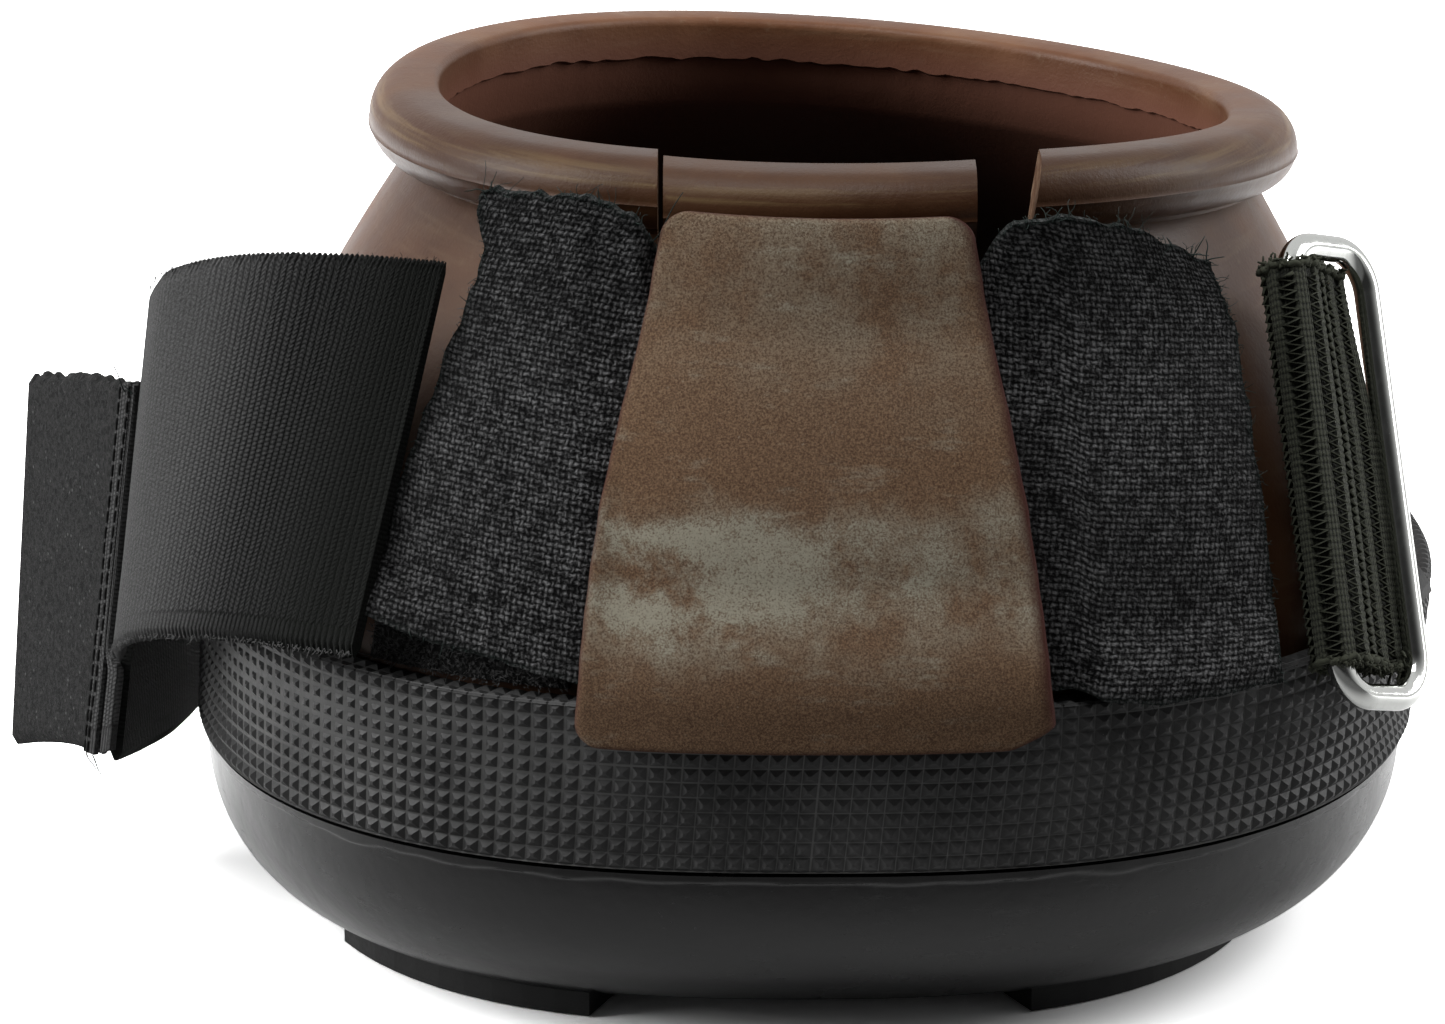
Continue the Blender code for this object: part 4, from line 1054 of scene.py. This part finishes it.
def fuzz(name, face, keep, count, length, body, look):
    """Curled fibres over the part of a grid that keep() names."""
    rows, columns = face.shape[:2]
    normal = grid_normals(face)
    r, c = chance.uniform(0, 1, count), chance.uniform(0, 1, count)
    inside = keep(r, c)
    r, c = (r[inside] * (rows - 1)).astype(int), (c[inside] * (columns - 1)).astype(int)
    ways = normal[r, c] + chance.standard_normal((len(r), 3)) * 0.7
    starts = face[r, c] + chance.uniform(-0.5, 0.5, (len(r), 3)) * 0.0006
    paths = threads(starts, unit(ways), length * chance.uniform(0.4, 1.0, len(r)), 0.9, 6)
    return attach(tube_set(name, paths, 0.00007, look, sides=3), body)


loop_fuzz_left = fuzz("loop_fuzz_left", pad_left_face, lambda r, c: (r < 0.16) | (c < 0.16), 5200, 0.0009,
                      "boot", loop_thread)
loop_fuzz_right = fuzz("loop_fuzz_right", pad_right_face, lambda r, c: (r < 0.06) | (c > 0.90), 2400, 0.0009,
                       "boot", loop_thread)


# The front patch

def make_patch():
    """The rubber patch: over the band at its foot, close on the wings above it."""
    corner, slant = 0.0030, collar_height - patch_foot
    neck = collar_height - bead_height
    foot_level = (patch_foot - upper_foot) / (neck - upper_foot)
    ends = 1 - np.cos(np.linspace(0, 0.5, 12) * math.pi)
    shares = np.concatenate([ends * corner / slant,
                             np.linspace(corner / slant, 1 - corner / slant, 72)[1:-1],
                             1 - ends[::-1] * corner / slant])
    across = np.concatenate([np.linspace(0, 0.08, 12), np.linspace(0.08, 0.92, 62)[1:-1],
                             np.linspace(0.92, 1, 12)])
    share, u = np.meshgrid(shares, across, indexing="ij")
    level = foot_level + (0.985 - foot_level) * share
    from_end = np.minimum(share, 1 - share) * slant
    inside = np.maximum(corner - from_end, 0.0)
    half = (0.0267 + (0.0157 - 0.0267) * share + 0.0020 * np.sin(math.pi * share)
            - (corner - np.sqrt(corner ** 2 - inside ** 2)))
    half = half + wobble((len(shares),), 0.00010, 3)[:, None]
    x = 0.0005 * share - 0.0007 - 0.0004 * np.sin(math.pi * share) + half * (2 * u - 1)
    x -= 0.0028 * ease((u - 0.80) / 0.20) * ease(1 - share * slant / corner)
    stand = wing_offset(x) + wing_thickness + clearance + 0.0036 * ease((share - 0.76) / 0.24)

    def face(extra):
        point = off_wall(front_angle(x, level), level, stand + extra)
        climb = (point[..., 2] - patch_foot) / 0.0046
        over = ease(1 + (1.0 - climb) / 3.2)
        front = band_front(x)
        point[..., 1] += (np.minimum(front - extra, point[..., 1]) - point[..., 1]) * over
        return point
    edge = np.minimum(np.minimum(u, 1 - u) * 2 * half, np.minimum(share, 1 - share) * slant)
    rounding = 0.0007 * (1 - np.sqrt(1 - (1 - np.clip(edge / 0.0009, 0, 1)) ** 2))
    outer = face(patch_thickness - rounding + wobble(share.shape, 0.00010, 6))
    inner = face(np.zeros_like(share))
    uv = np.stack([x, share * slant], -1)
    made = sheet_mesh("front_patch_panel", turn_flap(outer), turn_flap(inner), suede, uv, sharp=50.0)
    right_side = (1 - u) * 2 * half / 0.0013
    cut_edge = np.maximum(1 - np.clip(edge / 0.0007, 0, 1), 1.3 - np.clip(right_side, 0, 1.3))
    mark(made, "edge", np.concatenate([cut_edge.ravel(), np.ones(edge.size)]))
    mark(made, "high", np.tile(share.ravel(), 2))
    mark(made, "across", np.tile(u.ravel(), 2))
    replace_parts(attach(made, "front_flap"), "front_patch")


make_patch()


# The strap, its folded layer and the hook tab

def webbing_sheet(name, node, body, lows, highs, thickness, look, teeth=0.00034, columns=340, ragged=0.0):
    """A length of ribbed webbing through its stations, with a serrated selvedge."""
    rows = 40
    place = np.linspace(0, len(lows) - 1, columns)
    low, high = between(lows, place), between(highs, place)
    length = length_along((low + high) / 2)
    up = unit(high - low)
    if ragged:
        high = high + up * wobble((columns,), ragged, 12)[:, None]
    tooth = teeth * np.abs(np.sin(length / 0.00070 * math.pi))
    low, high = low - up * tooth[:, None] + up * teeth, high + up * tooth[:, None] - up * teeth
    v = np.linspace(0, 1, rows)[:, None, None]
    middle = low[None] + (high - low)[None] * v
    normal = grid_normals(middle)
    edge = np.minimum(np.linspace(0, 1, rows), 1 - np.linspace(0, 1, rows)) * strap_width
    thin = thickness / 2 * (1 - 0.80 * (1 - np.clip(edge / 0.0009, 0, 1)) ** 2)[:, None, None]
    uv = np.stack(np.broadcast_arrays(length[None, :], (np.linspace(0, 1, rows) * strap_width)[:, None]), -1)
    made = sheet_mesh(name, middle + normal * thin, middle - normal * thin, look, uv, sharp=60.0)
    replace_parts(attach(made, body), node)
    return made, middle, normal


run = [strap_station(*s) for s in run_stations]
back = [strap_station(*s) for s in return_stations]
last_low, last_high = back[-1]
back[-1] = (last_low, last_high + unit(back[-2][1] - last_high) * 0.0017)
strap_run = webbing_sheet("strap_run_web", "strap_run", "strap", [s[0] for s in run], [s[1] for s in run],
                          strap_thickness, webbing)[0]
strap_back, back_middle, back_normal = webbing_sheet(
    "strap_return_web", "strap_return", "strap_end", [s[0] for s in back], [s[1] for s in back],
    strap_thickness, webbing, teeth=0.00045, columns=460)

seam_low, seam_high = run[-1]
direction = seam_low - run[-2][0]
direction[2] = 0.0
direction = unit(direction)
tab_out = np.array(Matrix.Rotation(tab_turn, 3, "Z") @ Vector(-direction))
tab_lows, tab_highs = [], []
for share in (0.0, 0.35, 0.70, 1.0):
    shift = tab_out * (clearance * 3 + tab_thickness + tab_length * share)
    shift = shift - np.array((0.0, 0.0, tab_sag * share ** 1.5))
    tab_lows.append(seam_low + shift - tab_out * 0.0020 * share)
    tab_highs.append(seam_low + unit(seam_high - seam_low) * strap_width + shift + tab_out * 0.0028 * share)
tab, tab_middle, tab_normal = webbing_sheet("hook_tab_face", "hook_tab", "tab", tab_lows, tab_highs,
                                            tab_thickness, hooks, teeth=0.00012, columns=120, ragged=0.0005)


def seam_face(columns, lift):
    """Points on the tab's camera side, along the tab's own stations."""
    toward = 1.0 if tab_normal[20, 5, 1] < 0 else -1.0
    return tab_middle[:, columns] + tab_normal[:, columns] * (toward * (tab_thickness / 2 + lift))


strip_count, flap_count = 17, 9
rise = np.linspace(0, 1, len(tab_middle))[:, None]
edge_line = seam_face(0, 0.0)
beyond = unit(edge_line - seam_face(3, 0.0)) * (0.0009 + 0.0033 * ease((0.29 - rise) / 0.07))
columns = []
for index in range(flap_count, 0, -1):
    columns.append(seam_face(0, 0.00045 if index < flap_count else 0.0001) + beyond * ((index + 4) / (flap_count + 4)))
columns += [seam_face(c, 0.00045 if c < strip_count - 1 else 0.0001) for c in range(strip_count)]
strip = np.stack(columns, 1)
strip_out = unit(seam_face(3, 0.001) - seam_face(3, 0.0))[:, None]
strip = strip + wobble(strip.shape[:2], 0.00010, 8)[..., None] * strip_out
strip_back = strip - strip_out * 0.0006
for name, part, body in (("seam_strip", slice(flap_count, None), "tab"), ("seam_flap", slice(0, flap_count), "strap")):
    made = sheet_mesh(name, strip[:, part], strip_back[:, part], webbing, metre_uv(strip)[:, part], sharp=60.0)
    # A third of the rub and painted highlight on the seam's strip and flap.
    mark(made, "worn_and_highlight", np.full(len(made.data.vertices), 0.35))
    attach(made, body)


def stitch_row(foot, top, wander, count=24):
    """Stitches up the strip between two places on it, each dipping at its ends."""
    paths = []
    for index in range(count):
        share = (index + np.linspace(0.05, 0.80, 7)) / count
        row = share * (len(strip) - 1)
        low = np.minimum(row.astype(int), len(strip) - 2)
        column = foot + (top - foot) * share + wander[index]
        left = np.clip(column.astype(int), 0, strip.shape[1] - 2)
        part, side = (row - low)[:, None], (column - left)[:, None]
        point = (strip[low, left] * (1 - part) + strip[low + 1, left] * part) * (1 - side) \
            + (strip[low, left + 1] * (1 - part) + strip[low + 1, left + 1] * part) * side
        lift = strip_out[low, 0] * (0.00002 + 0.00014 * np.sin((share * count % 1) * math.pi))[:, None]
        paths.append(point + lift)
    return paths


stitches = stitch_row(24.2, 21.5, wobble((24,), 0.5, 1)) + stitch_row(20.0, 10.0, wobble((24,), 0.7, 1))
stitch = tube_set("seam_stitches", stitches, 0.00019, black_thread, sides=6, tip=0.9)
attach(stitch, "tab")
strays("stray_threads_strap", strip, (
    (0.995, 0.7, (-0.2, -0.3, 1), 0.0044), (0.0, 0.5, (0.2, -0.3, -1), 0.0030), (0.0, 0.9, (0.6, -0.3, -1), 0.0022),
    (0.99, 0.2, (-0.6, -0.3, 0.8), 0.0016)), "tab")
share = np.tile(np.linspace(0, 1, back_middle.shape[1])[None], (back_middle.shape[0], 1))
# Painted shade, growing along the strap's layer to its far end by the boot.
mark(strap_back, "deep", np.tile((0.95 * ease((share - 0.34) / 0.56)).ravel(), 2))
# Painted shade all over the run, which lies behind.
mark(strap_run, "deep", np.full(len(strap_run.data.vertices), 0.85))
# Rub and a painted highlight near the fold at the seam.
mark(strap_back, "worn_and_highlight", np.tile((0.95 * ease((0.62 - share) / 0.40) * ease((share + 0.02) / 0.08)).ravel(), 2))
strap_front = back_middle + back_normal * (strap_thickness / 2 if back_normal[20, 60, 1] < 0 else -strap_thickness / 2)
selvedge = fray("strap_selvedge", strap_front, "foot", 320, 0.0007, "strap_end", pale_thread)
selvedge_top = fray("strap_selvedge_top", strap_front, "top", 200, 0.0005, "strap_end", black_thread)


# The elastic loop round the ring's bar

def by_wall(angle, level, stand):
    """A point off the upper's wall, its stand-off a share of the ring's width."""
    return Vector(off_wall(math.radians(angle), level, stand * ring_width))


bar_foot = by_wall(-47.12, 0.0565, 0.5283)
bar_top = by_wall(-38.45, 0.8329, 0.5655)
bar_along = (bar_top - bar_foot).normalized()
bar_middle = (bar_foot + bar_top) / 2


def bar_frame(lie):
    """A frame at the bar's middle: Z along the bar, X in the direction of the lie."""
    across = (lie - bar_along * lie.dot(bar_along)).normalized()
    turn = Matrix((across, bar_along.cross(across), bar_along)).transposed()
    return Matrix.Translation(bar_middle) @ turn.to_4x4()


def teardrop(radius, end, thinnest, steps):
    """Points of a loop that is round about the bar and thins out to its far end."""
    half_turns = (0.5 + np.linspace(0, 1, steps)) * math.pi
    points = [(radius * math.cos(t), radius * math.sin(t)) for t in half_turns]
    sides = []
    for share in np.linspace(0, 1, 2 * steps)[1:]:
        x = end * share
        sides.append((x, radius + (thinnest - radius) * float(ease(x / elastic_loop))))
    bend = [(x, 0.0008 * (x / elastic_reach) ** 2, half) for x, half in sides]
    return np.array(points + [(x, b - h) for x, b, h in bend] + [(x, b + h) for x, b, h in reversed(bend)])


def make_elastic():
    """The elastic, doubled round the bar: flat strips with laced channels between them."""
    slot = ring_wire / 2 + 0.0004
    frame_matrix = np.array(bar_frame(by_wall(-31.71, 0.3955, 0.3259) - bar_middle))
    outer = teardrop(slot + elastic_wall, elastic_reach, elastic_wall, 90)
    inner = teardrop(slot, elastic_loop * 0.82, 0.0001, 90)
    length = length_along(outer)
    lane = (length / elastic_lane) % 1.0
    channel = ease((lane - 0.42) / 0.08) * ease((0.98 - lane) / 0.08)
    outward = unit(np.stack([np.gradient(outer[:, 1]), -np.gradient(outer[:, 0])], -1))
    heights = np.linspace(-0.5, 0.52, 110) * elastic_height
    far = np.arange(len(outer)) > len(outer) * 0.55
    ends_wave = wobble((len(outer),), 0.00030, 3)
    rows = []
    for z in heights:
        bulge = 0.0016 * math.cos(z / elastic_height * math.pi) * np.sin(np.clip(
            (length / length[-1] - 0.55) / 0.45, 0, 1) * math.pi) * far
        crimp = 0.00007 * np.sin(z / 0.0009 * tau) * (1 - channel)
        ring = outer + outward * (bulge + crimp - 0.00045 * channel)[:, None]
        ring[:, 0] = np.where(ring[:, 0] > 0, ring[:, 0] * (1 - 0.14 * ease((z / elastic_height - 0.05) / 0.48)), ring[:, 0])
        rows.append(np.column_stack([ring, z + ends_wave * abs(z / elastic_height) ** 8 * 256]))
    skin = np.stack(rows)
    rows += [np.column_stack([inner, np.full(len(inner), z)]) for z in heights[::-1]]
    points = placed(np.stack(rows), frame_matrix)
    uv = np.stack(np.broadcast_arrays(length[None], np.concatenate([heights, heights[::-1]])[:, None]), -1)
    faces = grid_faces(len(rows), len(outer), wrap_rows=True, wrap_columns=True)
    made = add_mesh("elastic_web", points, faces, olive, uv, sharp=60.0)
    mark(made, "channel", np.concatenate([np.tile(channel, len(heights)), np.zeros(inner[:, 0].size * len(heights))]))
    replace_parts(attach(made, "elastic"), "elastic_loop")
    laces, lanes = [], int(length[-1] / elastic_lane)
    for index in range(lanes):
        zig = np.linspace(-0.49, 0.49, 84) * elastic_height
        side = np.where(np.arange(84) % 2 == 0, 0.44, 0.96) + index
        path = []
        for z, place in zip(zig, side * elastic_lane):
            k = min(int(np.searchsorted(length, place)), len(length) - 1)
            row = min(max(int((z / elastic_height + 0.5) / 1.02 * 109), 0), 109)
            flat = skin[row, k] + np.append(outward[k] * 0.00012, 0.0)
            flat[2] = z
            path.append(flat)
        laces.append(placed(np.array(path), frame_matrix))
    lacing = tube_set("elastic_lacing", laces, 0.00027, lace_thread, sides=5, tip=1.0)
    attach(lacing, "elastic")
    ends = placed(skin[[0, -1]], frame_matrix)
    along = np.array(bar_along)
    tufts = []
    for tag, ring, way in (("foot", ends[0], -along), ("top", ends[1], along)):
        path = ring - way * 0.0002 + wobble(ring.shape, 0.00045, 1)
        made_roll = tube_set("elastic_roll_" + tag, [np.concatenate([path, path[:2]])[::2]], 0.0004,
                             lace_thread, 8, 1.0)
        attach(made_roll, "elastic")
        pick = chance.integers(0, len(outer), 260)
        tufts += threads(ring[pick] + way * 0.0003, chance.standard_normal((260, 3)),
                         0.00042 * chance.uniform(0.5, 1.0, 260), 1.6, 6)
    corner = ends[0][int(len(outer) * 0.60)]
    tufts += threads(corner + chance.standard_normal((60, 3)) * 0.0006, chance.standard_normal((40, 3)),
                     0.0014 * chance.uniform(0.5, 1.0, 40), 1.5, 9)
    tuft = tube_set("elastic_tufts", tufts, 0.00022, lace_thread, sides=5)
    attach(tuft, "elastic")


make_elastic()


def make_ring(sides=28):
    """The chrome wire: a long ring with round corners, its inner bar in the elastic."""
    half_tall, wide, corner = (ring_length - ring_wire) / 2, ring_width - ring_wire, ring_corner
    path = []
    for cx, cz, start in ((wide - corner, half_tall - corner, 0.0), (corner, half_tall - corner, 0.5),
                          (corner, corner - half_tall, 1.0), (wide - corner, corner - half_tall, 1.5)):
        for share in np.linspace(0, 0.5, 22):
            turn = (start + share) * math.pi
            path.append((cx + corner * math.cos(turn), 0.0, cz + corner * math.sin(turn)))
    path = np.array(path)
    along = unit(np.roll(path, -1, 0) - np.roll(path, 1, 0))
    up = np.array((0.0, 1.0, 0.0))
    ring = round_section(path, np.cross(along, up), up, ring_wire / 2, sides)
    points = placed(ring, np.array(bar_frame(by_wall(-28.39, 0.3717, 0.4421) - bar_middle)))
    made = add_mesh("strap_ring_wire", points, grid_faces(len(path), sides, True, True), chrome, sharp=None)
    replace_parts(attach(made, "ring"), "strap_ring")


make_ring()


# The insole, a soft foam pad on the cup's floor

def make_insole(rows=26, steps=160):
    """A foam pad: flat below, crowned above, drawn in round its rim."""
    low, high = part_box("insole")
    middle = [(low[0] + high[0]) / 2, (low[1] + high[1]) / 2]
    angle = np.arange(steps) * tau / steps
    half = (high[0] - low[0]) / 2 - 0.0002
    deep = (high[1] - low[1]) / 2 - 0.0002
    thick = high[2] - low[2]
    rings = []
    for share in np.linspace(0.02, 1.0, rows):
        dip = wobble((steps,), 0.00008, 6)
        crown = thick * (1 - 0.55 * ease((share - 0.86) / 0.14)) - 0.0003 * share ** 2
        plan = outline(angle, half * share, deep * share, deep * share, sole_squareness, heel_taper * share)
        rings.append(plan + vec(middle[0], middle[1], low[2] + crown + dip * share))
    for share, height in ((1.0, 0.25), (0.985, 0.0), (0.4, 0.0), (0.02, 0.0)):
        plan = outline(angle, half * share, deep * share, deep * share, sole_squareness, heel_taper * share)
        rings.append(plan + vec(middle[0], middle[1], low[2] + thick * height))
    made = add_mesh("insole_pad", np.stack(rings), capped_faces(len(rings), steps), foam)
    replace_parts(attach(made, "boot"), "insole")


make_insole()
for node in ("anchor_patch_left", "anchor_patch_right", "tread_pad_toe_left", "tread_pad_toe_right",
             "tread_pad_heel_left", "tread_pad_heel_right", "tread_pad_centre"):
    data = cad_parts[node].data
    data.materials.clear()
    data.materials.append(matte)


# Floor, light and camera

def make_stage():
    """A pale floor that the camera sees as white, apart from the shadow on it."""
    bm = bmesh.new()
    bmesh.ops.create_grid(bm, x_segments=2, y_segments=2, size=4.0)
    mesh = bpy.data.meshes.new("floor")
    bm.to_mesh(mesh)
    bm.free()
    floor = add_object("floor", mesh)
    floor.location.z = -0.0002
    look = Look("floor", Roughness=1.0, Specular_IOR_Level=0.0)
    paths = look.tree.nodes.new("ShaderNodeLightPath").outputs
    grain = look.noise(6.0, 2)
    behind = look.span(look.split(look.spot)[1], -0.16, 0.10)
    gloss = look.blend(behind, grey(0.13), grey(2.3))
    color = look.blend(paths["Is Glossy Ray"], look.blend(grain, grey(0.26), grey(0.28)), gloss)
    color = look.blend(paths["Is Camera Ray"], color, look.blend(grain, grey(2.6), grey(2.7)))
    mesh.materials.append(look.finish(Base_Color=color))


def area_light(name, place, target, size, power):
    """A soft rectangular lamp."""
    data = bpy.data.lights.new(name, "AREA")
    data.shape, data.size, data.size_y, data.energy = "RECTANGLE", *size, power
    lamp = add_object(name, data)
    lamp.location = place
    lamp.rotation_euler = (Vector(target) - Vector(place)).to_track_quat("-Z", "Y").to_euler()


def make_world():
    """A white room, dimmer on the camera's side, so that gloss has something to show."""
    world = bpy.data.worlds.new("studio")
    bpy.context.scene.world = world
    world.use_nodes = True
    tree = world.node_tree
    nodes, links = tree.nodes, tree.links

    def math_node(operation, *values):
        node = nodes.new("ShaderNodeMath")
        node.operation = operation
        for socket, value in zip(node.inputs, values):
            if isinstance(value, bpy.types.NodeSocket):
                links.new(value, socket)
            else:
                socket.default_value = value
        return node.outputs[0]
    split = nodes.new("ShaderNodeSeparateXYZ")
    links.new(nodes.new("ShaderNodeTexCoord").outputs["Generated"], split.inputs[0])
    ramp = nodes.new("ShaderNodeMapRange")
    ramp.interpolation_type = "SMOOTHSTEP"
    links.new(split.outputs[1], ramp.inputs["Value"])
    for key, value in (("From Min", -0.85), ("From Max", 0.20), ("To Min", 0.03), ("To Max", 0.85)):
        ramp.inputs[key].default_value = value
    path = nodes.new("ShaderNodeLightPath").outputs
    seen = math_node("MAXIMUM", path["Is Camera Ray"], path["Is Transmission Ray"])
    gloss = math_node("MULTIPLY", path["Is Glossy Ray"], ramp.outputs[0])
    other = math_node("MULTIPLY", math_node("SUBTRACT", 1.0, path["Is Glossy Ray"]),
                      math_node("MULTIPLY", ramp.outputs[0], 0.60))
    strength = math_node("MAXIMUM", seen, math_node("ADD", gloss, other))
    back = nodes["Background"]
    back.inputs[0].default_value = (1.0, 1.0, 1.0, 1.0)
    links.new(strength, back.inputs[1])


make_stage()
make_world()
area_light("left", (-0.85, -0.12, 0.50), (0.0, 0.0, 0.05), (0.4, 0.7), 8.0)
area_light("right", (0.85, 0.10, 0.55), (0.0, 0.0, 0.05), (0.3, 0.7), 5.0)
area_light("above", (-0.15, -0.25, 1.0), (0.0, 0.0, 0.05), (0.5, 0.4), 4.2)
scene = bpy.context.scene
scene.view_settings.view_transform = "Standard"

camera_data = bpy.data.cameras.new("camera")
camera_data.lens, camera_data.sensor_width = 156.06, 36.0
camera = add_object("camera", camera_data)
camera_target, camera_distance, camera_rise = Vector((-0.0115, 0.0, 0.0442)), 0.8, math.radians(17.0)
away = Vector((0.0, -math.cos(camera_rise), math.sin(camera_rise)))
camera.location = camera_target + away * camera_distance
camera.rotation_euler = (-away).to_track_quat("-Z", "Y").to_euler()
scene.camera = camera

bpy.context.view_layer.update()
